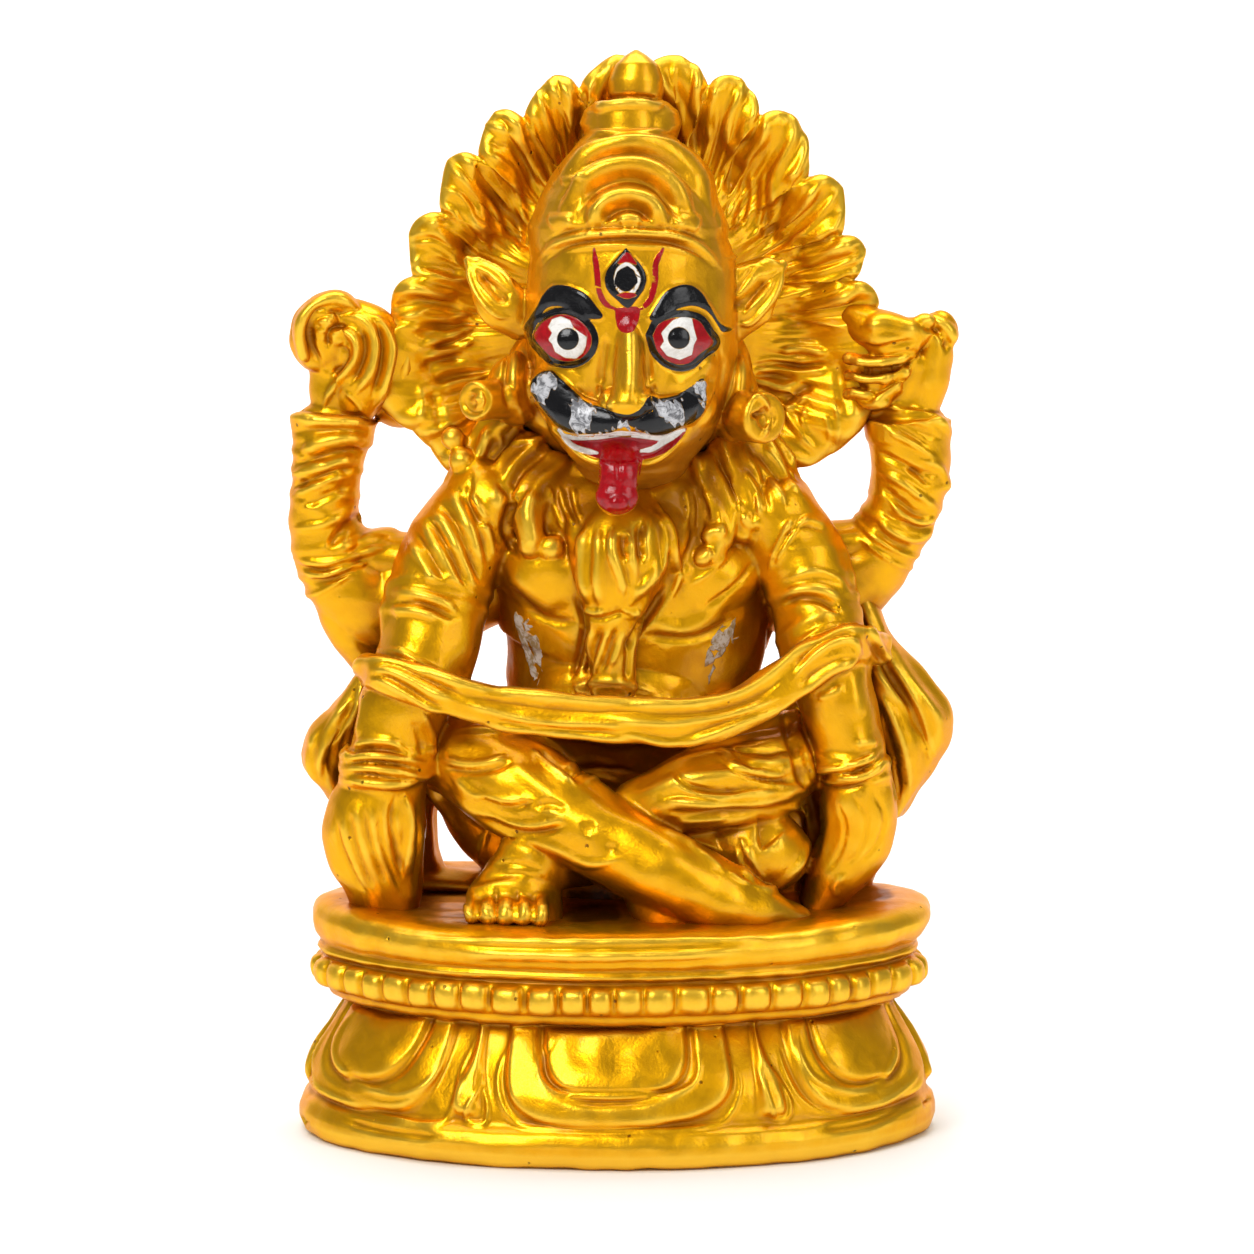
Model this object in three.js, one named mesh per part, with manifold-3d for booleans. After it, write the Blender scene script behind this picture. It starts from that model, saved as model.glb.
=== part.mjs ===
// A seated lion-headed figure with four arms, cast in one piece with its oval lotus plinth.
//
// It sits with its legs crossed and its knees drawn up. A band of cloth runs round both
// forearms in front of the belly. The front hands hang down to the plinth, and the rear
// hands hold up a discus and a conch. A mane of flame-shaped locks stands round the head.
//
// Millimetres. +X is to the right as seen from the front, the figure looks along -Y and +Z
// is up. The origin is the middle of the underside.
import * as THREE from "three";
import { ParametricGeometry } from "three/addons/geometries/ParametricGeometry.js";
import { mergeVertices } from "three/addons/utils/BufferGeometryUtils.js";
import Module from "manifold-3d";

const wasm = await Module();
wasm.setup();

// Driving dimensions
const PLINTH_TOP = 32; // height of the oval plinth
const PLAN = { across: 42, deep: 28 }; // half axes of the plinth's oval, at its bead row
const BEADS = 52; // beads round the plinth
const BEAD_PROUD = 1.1;
const PETAL_PROUD = 1.2;
const MANE = { x: 2.8, y: 4, z: 117 }; // centre of the halo of locks
const FACE = { x: 2.2, y: -4 }; // middle of the head
const TRIANGLES = 9800; // what the finished casting is thinned to

const FRONT = new THREE.Vector3(0, -1, 0);
const UP = new THREE.Vector3(0, 0, 1);

const point = ([x, y, z]) => new THREE.Vector3(x, y, z);
const bump = (x) => (Math.abs(x) < 1 ? 0.5 + 0.5 * Math.cos(Math.PI * x) : 0);
const clamp01 = (x) => Math.min(1, Math.max(0, x));
const smooth = (x) => clamp01(x) ** 2 * (3 - 2 * clamp01(x));

// A three.js geometry as a closed solid that can be joined and cut.
function solid(geometry) {
  const bare = new THREE.BufferGeometry();
  bare.setAttribute("position", geometry.getAttribute("position"));
  bare.setIndex(geometry.index);
  const merged = mergeVertices(bare, 1e-4);
  const corners = merged.index.array;
  const kept = [];
  for (let i = 0; i < corners.length; i += 3) {
    const [a, b, c] = corners.subarray(i, i + 3);
    if (a !== b && b !== c && c !== a) kept.push([a, b, c]);
  }
  const build = (faces) =>
    new wasm.Manifold(
      new wasm.Mesh({
        numProp: 3,
        vertProperties: merged.attributes.position.array,
        triVerts: new Uint32Array(faces.flat()),
      }),
    );
  const made = build(kept);
  return made.volume() > 0 ? made : build(kept.map(([a, b, c]) => [b, a, c]));
}

// A closed skin of columns round and rows along: place(i, j) gives each of its points. All
// points of the first row are one and the same, and so are those of the last.
function skin(columns, rows, place) {
  const at = (u, v, target) =>
    target.set(...place(Math.round(u * columns) % columns, Math.round(v * (rows - 1))));
  return solid(new ParametricGeometry(at, columns, rows - 1));
}

// A tube of oval section along a smooth line, with domed ends. sizes holds the half width
// and the half depth at each point of the line. relief swells the section by a factor of
// the place along the line, 0 to 1, and the angle round it, which is 90 degrees in front.
function limb(line, sizes, options = {}) {
  const { sides = 20, steps = 26, dome = 0.8, facing = FRONT, relief = () => 1 } = options;
  const path = new THREE.CatmullRomCurve3(line.map(point), false, "centripetal");
  const girths = sizes.map(([wide, deep]) => new THREE.Vector3(wide, deep, 0));
  const girth = new THREE.CatmullRomCurve3(girths, false, "catmullrom", 0.5);
  const ringAt = (t, angle, end) => {
    const along = path.getTangent(t);
    const deep = facing.clone().addScaledVector(along, -facing.dot(along)).normalize();
    const wide = new THREE.Vector3().crossVectors(along, deep);
    const size = girth.getPoint(t);
    const push = end * Math.sin(angle) * dome * Math.min(size.x, size.y);
    const centre = path.getPoint(t).addScaledVector(along, push);
    return { t, centre, wide, deep, size, shrink: Math.cos(angle) };
  };
  const domed = [1, 0.86, 0.67, 0.45, 0.22].map((share) => (share * Math.PI) / 2);
  const rings = [
    ...domed.map((angle) => ringAt(0, angle, -1)),
    ...Array.from({ length: steps + 1 }, (_, k) => ringAt(k / steps, 0, 1)),
    ...domed.reverse().map((angle) => ringAt(1, angle, 1)),
  ];
  return skin(sides, rings.length, (i, j) => {
    const { t, centre, wide, deep, size, shrink } = rings[j];
    const pole = j === 0 || j === rings.length - 1;
    const turn = (i / sides) * 2 * Math.PI;
    const swell = pole ? 0 : shrink * relief(t, turn);
    return centre
      .clone()
      .addScaledVector(wide, Math.cos(turn) * size.x * swell)
      .addScaledVector(deep, Math.sin(turn) * size.y * swell);
  });
}

// An ellipsoid, turned by angles in degrees about X, Y and Z.
function ball(centre, radii, turn = [0, 0, 0]) {
  const geometry = new THREE.SphereGeometry(1, 28, 20).scale(...radii);
  geometry.rotateX(THREE.MathUtils.degToRad(turn[0]));
  geometry.rotateY(THREE.MathUtils.degToRad(turn[1]));
  geometry.rotateZ(THREE.MathUtils.degToRad(turn[2]));
  return solid(geometry.translate(...centre));
}

// A turned form about a line that starts at centre and runs along axis.
function turned(profile, centre, axis = UP, squash = 1) {
  const geometry = new THREE.LatheGeometry(
    profile.map(([r, h]) => new THREE.Vector2(r, h)),
    28,
  ).scale(1, 1, squash);
  geometry.applyQuaternion(
    new THREE.Quaternion().setFromUnitVectors(
      new THREE.Vector3(0, 1, 0),
      axis.clone().normalize(),
    ),
  );
  return solid(geometry.translate(...centre));
}

// Bangles round the front of a wrist, one below the other. tilt lifts one side of them.
function bangles([x, y, z], count, [across, deep], pitch, tilt) {
  return Array.from({ length: count }, (_, i) =>
    limb(
      Array.from({ length: 9 }, (_, k) => {
        const a = (k / 8) * 1.3 * Math.PI - 0.15 * Math.PI;
        return [
          x - across * Math.cos(a), y - deep * Math.sin(a), z - pitch * i + tilt * Math.cos(a),
        ];
      }),
      Array.from({ length: 9 }, () => [0.85, 0.95]),
      { sides: 10, facing: UP, steps: 20 },
    ),
  );
}

const join = (parts) => parts.reduce((all, part) => all.add(part));

// Ridges round a limb: each is [place along the line, half width, height, slant].
const ridges = (list) => (t, turn) =>
  list.reduce(
    (swell, [at, half, height, slant = 0]) =>
      swell + height * bump((t - at - slant * Math.cos(turn)) / half),
    1,
  );

// The oval plinth. Its outline at each height is the plan oval, moved out or in.
function plinth() {
  const outline = [
    // [how far the outline stands out from the plan oval, height]
    [1.4, 0], [2.3, 0.7], [2.8, 2], [2.8, 3.4], [2.2, 4.8], [1.2, 5.6],
    [0.9, 6.2], [0.8, 7.2], [0.5, 8.4], [0.1, 9.8], [-0.5, 11.2], [-1.2, 12.6],
    [-2, 14], [-2.9, 15.4], [-3.8, 16.8], [-4.6, 18], [-4.8, 18.6], [-3.4, 18.9],
    [-2, 19.3], [-1.5, 19.9], [-1.5, 20.5], [-0.7, 20.9], [-0.5, 21.8], [-0.4, 22.8],
    [-0.5, 23.8], [-0.7, 24.7], [-1.4, 25], [-1.3, 25.5], [-0.5, 25.9], [-0.1, 26.5],
    [-0.1, 27.1], [-0.7, 27.6], [-0.6, 28.1], [0.1, 28.7], [0.4, 29.5], [0.2, 30.4],
    [-0.6, 31.2], [-1.8, 31.8], [-3.4, PLINTH_TOP],
  ];
  const profile = [];
  outline.slice(1).forEach(([out, height], k) => {
    const [out0, height0] = outline[k];
    const parts = height > 5 && height < 25.5 ? Math.ceil((height - height0) / 0.4) : 1;
    for (let n = 0; n < parts; n++)
      profile.push([out0 + ((out - out0) * n) / parts, height0 + ((height - height0) * n) / parts]);
  });
  profile.push(outline.at(-1));

  const { across, deep } = PLAN;
  const oval = Array.from({ length: 2881 }, (_, i) => {
    const turn = (i / 2880) * 2 * Math.PI - Math.PI / 2;
    return new THREE.Vector2(across * Math.cos(turn), deep * Math.sin(turn));
  });
  const run = [0];
  for (let i = 1; i < oval.length; i++)
    run.push(run[i - 1] + oval[i].distanceTo(oval[i - 1]));
  const girth = run.at(-1);
  const columns = 468;
  return skin(columns, profile.length + 2, (i, j) => {
    if (j === 0) return [0, 0, 0];
    if (j > profile.length) return [0, 0, PLINTH_TOP];
    const way = (i / columns) * girth;
    const mark = run.findIndex((length) => length > way) - 1;
    const at = oval[mark]
      .clone()
      .lerp(oval[mark + 1], (way - run[mark]) / (run[mark + 1] - run[mark]));
    const out = new THREE.Vector2(at.x / across ** 2, at.y / deep ** 2).normalize();
    const [stand, height] = profile[j - 1];
    at.addScaledVector(out, stand + plinthRelief(way, height, girth));
    return [at.x, at.y, height];
  });
}

// How far the beads and the lotus petals stand out, at a way round from the front.
function plinthRelief(way, height, girth) {
  const pitch = girth / BEADS;
  const inBead = (way % pitch) / pitch - 0.5;
  const bead =
    BEAD_PROUD *
    smooth(2.2 - 2.2 * Math.hypot(Math.abs(2.2 * inBead) ** 1.5, ((height - 22.8) / 2) ** 2));
  let petal = 0;
  const quarter = girth / 4;
  for (const [centre, half] of [
    [0, 16.2], [38.3, 13.9], [2 * quarter - 38.3, 13.9], [2 * quarter, 16.2],
    [2 * quarter + 38.3, 13.9], [girth - 38.3, 13.9], [girth, 16.2],
  ]) {
    const u = Math.abs(way - centre);
    const v = Math.max(0, 19 - height);
    const inside = (halfWide, tall, power) =>
      halfWide * (1 - ((u / halfWide) ** power + (v / tall) ** power) ** (1 / power));
    const outer = inside(half, 13.2, 4);
    const inner = inside(half * 0.66, 9.2, 3);
    petal = Math.max(
      petal,
      PETAL_PROUD * smooth(outer / 1.2) - 0.8 * bump(inner / 1.1) + 0.4 * smooth(inner / 4),
    );
  }
  const tongues = [20.3, quarter, 2 * quarter - 20.3];
  for (const centre of [...tongues, ...tongues.map((at) => girth - at)]) {
    const half = 0.9 + 1.3 * smooth((17 - height) / 9);
    const rise = smooth((half - Math.abs(way - centre)) / 1.1) * smooth((height - 6) / 1.5);
    petal = Math.max(petal, 1.1 * rise);
  }
  return bead + petal * smooth((height - 5.8) / 0.8) * smooth((18.9 - height) / 0.5);
}

// The trunk, from the seat to the neck, with the chest and belly.
function trunk() {
  return join([
    limb(
      [
        [1, 6, 31], [1, 6, 45], [0, 6, 56], [0, 5.5, 61], [2, 5, 66.5], [2.5, 3, 74], [2, 3, 81],
        [1.5, 3, 89.5],
      ],
      [[15, 11], [17, 12], [14.5, 11.5], [15, 12], [18, 12], [19, 12], [19, 12], [14, 10]],
      { sides: 30 },
    ),
    ball([-6.5, -1.5, 77.5], [10.5, 7, 7], [0, 20, 0]),
    ball([10, -1.5, 77], [10.5, 7, 7], [0, -20, 0]),
    ball([1, 0, 61.5], [13.5, 8.2, 8]),
    ball([1.5, 0, 86], [16, 9, 8]),
    limb([[-16, 3, 87], [1, 3, 88], [20, 3, 86]], [[6.4, 7], [8.5, 9], [6.4, 7]]),
  ]);
}

// One front arm, from the shoulder to the hand on the plinth.
function frontArm(side) {
  const knuckles = (fingers, from) => (t, turn) => {
    const groove = Math.cos(fingers * (turn - Math.PI / 2));
    return 1 + 0.07 * groove * smooth((t - from) / 0.2) * smooth((1.06 - t) / 0.2);
  };
  if (side < 0)
    return join([
      limb(
        [
          [-17.5, 0, 88.5], [-21.5, -1, 82.5], [-24.5, -3.5, 75.5], [-26, -6, 68], [-29, -8, 60.5],
          [-31, -8, 54.5], [-32, -8, 49.5],
        ],
        [[6.4, 7], [7, 7.5], [7.2, 7.3], [6.8, 7], [6, 6.2], [5.6, 5.8], [5.6, 5.4]],
        {
          sides: 32,
          steps: 90,
          relief: ridges([
            [0.1, 0.026, 0.06, 0.07], [0.17, 0.024, 0.06, 0.07], [0.24, 0.024, 0.06, 0.06],
            [0.315, 0.026, 0.055, 0.045], [0.39, 0.03, 0.05, 0.03], [0.47, 0.03, 0.05, 0.02],
          ]),
        },
      ),
      limb(
        [[-31.5, -8, 50.5], [-33, -7.4, 45.5], [-33.5, -6.6, 41], [-32.5, -5.6, 36], [-32, -5, 32]],
        [[5.4, 5.2], [7, 6], [7.2, 6], [5.8, 5.2], [4.6, 4.6]],
        { sides: 36, steps: 40, relief: knuckles(11, 0.45) },
      ),
      limb(
        [[-29, -9.5, 49], [-28.5, -9, 42.5], [-29.5, -7.5, 34.5]], [[1.6, 2.2], [2, 2.6], [1.6, 2]],
      ),
      ...bangles([-31.5, -8, 54], 3, [6.2, 6], 1.65, -0.5),
      ball([-26, -9, 52.5], [1.5, 1.6, 1.5]),
    ]);
  return join([
    limb(
      [
        [21.5, 0, 86.5], [25.5, -1, 80], [27.5, -3, 73], [29, -5, 67], [30.5, -6.5, 60.5],
        [32.5, -7, 54.5], [33, -7, 50.5],
      ],
      [[6.3, 7], [6.4, 7.4], [6, 7], [6.3, 6.8], [5.4, 6], [4.9, 5.4], [4.7, 5]],
      {
        sides: 32,
        steps: 90,
        relief: ridges([
          [0.14, 0.025, 0.05, -0.06], [0.22, 0.025, 0.055, -0.05], [0.3, 0.03, 0.055, -0.03],
          [0.4, 0.03, 0.05, 0.03], [0.47, 0.03, 0.06, 0.03],
        ]),
      },
    ),
    limb(
      [[33, -7, 51.5], [33.5, -6.5, 46.5], [33.5, -6, 41], [32, -5.5, 36], [30.5, -5, 32]],
      [[4.7, 4.8], [5.5, 5.4], [5.4, 5.3], [4.4, 4.6], [4, 4.2]],
      { sides: 36, steps: 40, relief: knuckles(9, 0.5) },
    ),
    ...bangles([32.5, -7, 53], 2, [5, 5.3], 1.7, 0.7),
  ]);
}

// One rear arm, bent up at the elbow, with its wide sleeve and the hand above it.
function rearArm(side) {
  if (side < 0)
    return join([
      limb(
        [
          [-19, 6, 78], [-27, 7, 74.5], [-34, 7, 73.5], [-39, 6.5, 78], [-41.5, 5.5, 84],
          [-41, 5, 91.5], [-40, 4.5, 97.5],
        ],
        [[8, 7], [8.6, 7], [7.4, 6.5], [6, 6], [5, 5.4], [4.9, 5.2], [5.6, 5.4]],
        {
          sides: 32,
          steps: 100,
          relief: ridges([
            [0.5, 0.016, 0.12], [0.545, 0.016, 0.1], [0.59, 0.016, 0.08], [
              0.72, 0.024, 0.11, -0.04,
            ],
            [0.8, 0.024, 0.13, -0.035], [0.88, 0.024, 0.13, -0.025],
          ]),
        },
      ),
      limb(
        [[-39.5, 4.5, 96], [-39.5, 4.5, 99]], [[5.7, 5.4], [6.2, 5.8]], { dome: 0.12, steps: 4 },
      ),
      limb(
        [[-39.5, 4.5, 98.5], [-39, 4.5, 102.5], [-38.5, 4.5, 106.5]],
        [[3.2, 3.2], [3.6, 3.4], [4.4, 3.8]],
      ),
    ]);
  return join([
    limb(
      [
        [23.5, 6, 76.5], [30.5, 7, 73], [35.5, 7, 74.5], [39, 6.5, 80], [41, 5.5, 85.5],
        [41, 5, 92], [40.5, 4.5, 97.5],
      ],
      [[8, 7], [8, 7], [6.8, 6.2], [5.4, 5.8], [5.2, 5.4], [5.6, 5.4], [5.9, 5.6]],
      {
        sides: 32,
        steps: 100,
        relief: ridges([
          [0.5, 0.016, 0.1], [0.55, 0.016, 0.09], [0.66, 0.03, 0.12, 0.05], [
            0.75, 0.024, 0.08, 0.05,
          ],
          [0.84, 0.024, 0.08, 0.05],
        ]),
      },
    ),
    limb([[40.5, 4.5, 96], [40.5, 4.5, 99]], [[5.9, 5.6], [6.3, 5.9]], { dome: 0.12, steps: 4 }),
    limb([[40, 4.5, 98.5], [40.5, 4, 102.5], [42, 3, 107]], [[4.2, 3.6], [3.6, 3.4], [3, 3]]),
  ]);
}

// The rear hand on the left: four fingers over a rolled conch.
function leftHand() {
  const fingers = [[0, 1.3], [2, 1.35], [4, 1.3], [5.9, 1.2]].map(([out, thick], i) =>
    limb(
      [
        [
          -39.4 + 0.5 * out, 0.8 + 0.3 * i, 115.2 - 0.2 * out,
        ], [-37 + 1.05 * out, -0.2 + 0.4 * i, 113.2],
        [-36.2 + 1.1 * out, -0.2 + 0.5 * i, 108.5], [-36.4 + out, 0.6 + 0.5 * i, 104],
        [-37 + 0.9 * out, 1.8 + 0.6 * i, 101],
      ],
      [[0.8, 1.6], [thick, 2.1], [thick, 2.3], [thick, 2.1], [0.9, 1.8]],
      { sides: 14 },
    ),
  );
  return join([
    ball([-40.5, 3.5, 111], [5, 4.2, 5.6], [0, 14, 0]),
    limb([[-43.5, 1.4, 108.5], [-43.5, 0.4, 112], [-41, 0.2, 115], [-37.5, 1, 115.5], [-35, 2.4, 113]],
      [[1, 1.8], [1.5, 2.2], [1.6, 2.2], [1.5, 2], [1.1, 1.8]], { sides: 14 }),
    ball([-40.5, 0.6, 112.5], [2.6, 2, 3]),
    ball([-38.5, 0.4, 110.5], [1.3, 1.4, 1.3]),
    limb([[-37, 5, 112], [-34, 5, 107], [-34, 5.5, 100.5]], [[6, 4], [7, 4.4], [4.6, 3.6]]),
    limb([[-30, 6, 108.5], [-30.5, 6.5, 101.5]], [[4, 4], [4.4, 4]]),
    ...fingers,
  ]);
}

// The rear hand on the right: three fingers under a conch that lies on its side.
function rightHand() {
  const fingers = [0, 1, 2].map((i) =>
    limb(
      [[32.5, 2, 108], [36, 0.6, 107], [40.5, 0.6, 108.5]].map(([x, y, z]) => [
        x - 0.7 * i * (x > 38), y + 0.3 * i, z - 2.5 * i,
      ]),
      [[1, 2], [1.25, 2.2], [1, 1.7]],
      { sides: 14 },
    ),
  );
  return join([
    limb(
      [[33.5, 3, 113.5], [36.5, 0.8, 111.5], [40, 0.5, 111], [43, 1.2, 112]],
      [[2.6, 3], [3.2, 3.4], [2.6, 3], [1.6, 2.2]],
    ),
    ball([45, 2.4, 111.5], [2.3, 2.4, 2.8]),
    limb([[44.5, 2.5, 111], [44, 3, 106.5], [42, 4, 100.5]], [[2.2, 2.8], [2.8, 3.2], [3.2, 3.4]]),
    limb([[35, 6, 109.5], [36, 6, 106], [37, 6, 101.5]], [[6, 4], [6, 4.4], [5, 4]]),
    ...fingers,
  ]);
}

// A lock of hair with grooves along it.
function lock(root, tip, { wide, deep, bend = 0, strands = 5, curl = 0.35 }) {
  const [a, b] = [point(root), point(tip)];
  const run = b.clone().sub(a);
  const aside = new THREE.Vector3().crossVectors(run, FRONT).normalize();
  const at = (share, off) => a.clone().addScaledVector(run, share).addScaledVector(aside, off);
  return limb(
    [a, at(0.35, bend * 0.8), at(0.7, bend), b].map((p) => p.toArray()),
    [[wide * 0.75, deep], [wide, deep], [wide * 0.95, deep * 0.85], [wide * curl, deep * 0.55]],
    {
      sides: 24,
      steps: 14,
      relief: (t, turn) => 1 + 0.1 * Math.cos(strands * (turn - Math.PI / 2)) * smooth(1.6 - t),
    },
  );
}

// The halo of flame-shaped locks that stands round the head, hollow towards the face.
function mane() {
  const RIM = [
    // tips and valleys in turn, each [direction in degrees from +X, distance from the centre]
    [-90, 28], [-60, 30], [-47, 33.6], [-40, 35.6], [-31, 36.9], [-23, 36.9], [-9.8, 32.3],
    [-3, 33.9], [3, 30.3],
    [10, 32.6], [15.3, 29.5], [26.5, 32.3], [33.5, 28.4], [46.9, 32.6], [54.9, 29.7], [63.6, 33],
    [70.6, 29.9], [79.2, 33.3], [87.4, 30.6], [95.1, 32.9], [105.9, 29.1], [111.1, 32], [123.1, 28.7],
    [128.5, 31.8], [139.5, 28.8], [145.3, 31.9], [157.9, 29.3], [166, 32.7], [176.2, 31], [185, 34.5],
    [188, 34.6], [203, 39.5], [211.7, 37], [217, 36], [223.3, 36.4], [236, 31], [270.1, 28],
  ];
  const columns = 540;
  const front = 34;
  const rows = front + 9;
  return skin(columns, rows, (i, j) => {
    if (j === 0) return [MANE.x, MANE.y - 2, MANE.z];
    if (j === rows - 1) return [MANE.x, MANE.y + 8, MANE.z];
    const turn = -90 + (i / columns) * 360;
    const k = Math.max(1, RIM.findIndex(([at]) => at > turn));
    const [before, after] = [RIM[k - 1], RIM[k]];
    const reach = (turn - before[0]) / (after[0] - before[0]);
    const [low, high, climb] =
      before[1] < after[1] ? [before[1], after[1], reach] : [after[1], before[1], 1 - reach];
    const radius = low + (high - low) * Math.sqrt(1 - (1 - climb) ** 2);
    const share = j < front ? 0.3 + (0.7 * (j - 1)) / (front - 1) : 1 - ((j - front + 1) / 9) * 0.9;
    // the locks sweep upwards as they run outwards
    const phase = lockPhase(turn - (turn > 90 ? 15 : -15) * (1 - share), RIM);
    const a = THREE.MathUtils.degToRad(turn);
    const valley = 1.9 * (1 - Math.abs(Math.cos(phase * Math.PI)) ** 1.6);
    const strand = 0.35 * Math.cos(6 * Math.PI * phase);
    const depth =
      j < front
        ? -3.6 + 3.2 * bump((share - 0.62) / 0.3) + 6 * smooth((share - 0.88) / 0.24) ** 2 +
          (valley + strand) * smooth((share - 0.42) / 0.25)
        : 7.6 - 5.6 * smooth((share - 0.72) / 0.34) - 0.35 * valley * smooth((share - 0.6) / 0.3);
    return [
      MANE.x + radius * share * Math.cos(a), MANE.y + depth, MANE.z + radius * share * Math.sin(a),
    ];
  });
}

// Where a direction lies within its lock: a whole number at a tip, a half at a valley.
function lockPhase(turn, rim) {
  const k = rim.findIndex(([at]) => at > turn);
  if (k < 1) return 0;
  const share = (turn - rim[k - 1][0]) / (rim[k][0] - rim[k - 1][0]);
  return (k - 1 + share) / 2;
}

// Hair that falls over the shoulders in curls, and the beard down the chest.
function beard() {
  const strands = (count, height) => (t, turn) =>
    1 + height * Math.cos(count * (turn - Math.PI / 2 + 0.2 * Math.sin(5 * t)));
  const fall = (line, from, to, count = 7) =>
    limb(line, [[from, from], [0.9 * from, 0.85 * from], [to, to]], {
      sides: 24,
      relief: strands(count, 0.09),
    });
  return join([
    // the collar of hair under the jaw
    limb(
      [[1, -6, 95.5], [1, -8.5, 89], [1, -9, 82], [0.5, -9, 76.5]],
      [[13, 8], [12.5, 5], [9, 4.2], [5, 3.4]],
      { sides: 64, steps: 40, relief: strands(21, 0.06) },
    ),
    limb(
      [[0.5, -8, 91], [0, -11.2, 83.5], [0, -11, 77], [-0.5, -9.5, 69.5], [-0.5, -9.5, 62]],
      [[4, 2.6], [6, 3.4], [5.2, 3.2], [3.6, 3], [3.4, 2.4]],
      { sides: 40, steps: 50, relief: strands(11, 0.1) },
    ),
    fall([[-15.5, -1, 99.5], [-19, -1, 94.5], [-22, -3, 90]], 3.8, 2.4),
    fall([[-13, -4, 97], [-16, -6, 92], [-17.5, -7, 87]], 3.6, 1.6),
    fall([[-10, -6, 94], [-13, -9, 88.5], [-12, -10.5, 81.5]], 3.6, 1.4),
    fall([[18.5, -1, 96.5], [22, -2, 92], [24, -3, 88]], 4, 2.4),
    fall([[16.5, -4, 95.5], [18.5, -6, 90], [17.5, -8, 84]], 3.8, 1.6),
    fall([[12, -6, 93.5], [14.5, -9, 87], [13, -10.5, 79.5]], 3.6, 1.4),
    ball([-17, -8, 88], [1.9, 1.8, 2]),
    ball([-10.5, -10.8, 83], [1.5, 1.6, 1.8]),
  ]);
}

// The head: skull, eyes, brows, nose, moustache, mouth and tongue.
function head() {
  const { x, y } = FACE;
  return join([
    limb(
      [94, 97.5, 103, 110, 115, 119].map((z) => [x, y, z]),
      [[8, 10], [11, 12], [13.2, 12.8], [14.4, 13.2], [14.8, 13], [14.2, 12.6]],
      { sides: 32, steps: 30, dome: 0.3 },
    ),
    ball([-5, -9, 103.5], [6, 6, 6]),
    ball([8, -9, 103.5], [6, 6, 6]),
    ball([1, -9, 97], [8.4, 8, 5]),
    // eyes, and the small third eye between the brows
    ball([-7, -13.6, 111.5], [4.6, 2.6, 3.8], [0, 0, -24]),
    ball([9, -13.6, 111.5], [4.6, 2.6, 3.8], [0, 0, 24]),
    ball([1.5, -15.8, 119.5], [2.6, 1.4, 3.8]),
    limb(
      [[-2, -16, 114.5], [-6.5, -15.8, 118], [-11.5, -12, 113.5]], [[1, 1], [1.5, 1.3], [0.6, 0.8]],
      { sides: 12 },
    ),
    limb(
      [[4.5, -16, 114], [9.5, -15.8, 118], [15.5, -11, 113.5]], [[1, 1], [1.5, 1.3], [0.6, 0.8]],
      { sides: 12 },
    ),
    // nose
    limb([[2, -15.6, 114], [2, -17.2, 107.5], [1.5, -19.4, 103]], [[2.2, 1.6], [2.2, 2], [3, 2.4]]),
    ball([-1, -17.6, 102.5], [2, 1.8, 1.6]),
    ball([4, -17.6, 102.5], [2, 1.8, 1.6]),
    // moustache
    limb(
      [
        [-10, -11.5, 105], [-5, -16, 101.5], [1.5, -17.6, 100.5], [6, -16.2, 101.5],
        [11, -11.5, 104],
      ],
      [[1.9, 1.5], [2.4, 1.9], [1.9, 1.9], [2.4, 1.9], [1.9, 1.5]],
      { sides: 18, steps: 34 },
    ),
    // lower lip and tongue
    limb(
      [[-8, -11, 99], [-4, -14.4, 96], [1, -15.6, 95], [5.5, -14.4, 96], [9.5, -11, 99]],
      [[0.8, 0.9], [1.3, 1.2], [1.5, 1.3], [1.3, 1.2], [0.8, 0.9]],
      { sides: 14, steps: 30 },
    ),
    limb(
      [[0.5, -16, 96.5], [0.5, -18.4, 93], [0, -17.8, 90]], [[3.1, 1.6], [2.7, 1.5], [3, 1.8]],
      { sides: 18 },
    ),
    ...ears(),
  ]);
}

// The leaf-shaped ears and the round earrings below them.
function ears() {
  return [
    limb([[-14.5, -4, 113.5], [-16.5, -5, 117.5], [-20.5, -3, 122]], [[2, 2], [4, 2], [1, 1.2]]),
    limb([[16, -4, 113], [19, -5, 117.5], [23, -3, 121]], [[2, 2], [4.4, 2.2], [1, 1.2]]),
    turned(
      [[0, -4], [2.4, -4], [2.6, -3.4], [2.6, 2.2], [2.3, 2.8], [1.1, 2.8], [0.9, 2.3], [0, 2.3]],
      [-17.5, -5, 102.5],
      new THREE.Vector3(-0.75, -0.66, 0),
    ),
    turned(
      [[0, -3], [3.2, -3], [3.5, -2.2], [3.5, 1.6], [3.1, 2.1], [1.7, 2.1], [1.3, 1.5], [0, 1.3]],
      [19, -5, 100],
      new THREE.Vector3(0.62, -0.78, 0),
    ),
    ball([16, -3, 102.5], [3.6, 4, 6]),
    ball([-14, -3, 103.5], [4, 4, 5]),
    ball([-15.5, 0, 109.5], [3.6, 5, 6]),
    ball([18, 0, 109.5], [3.6, 5, 6]),
  ];
}

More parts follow.
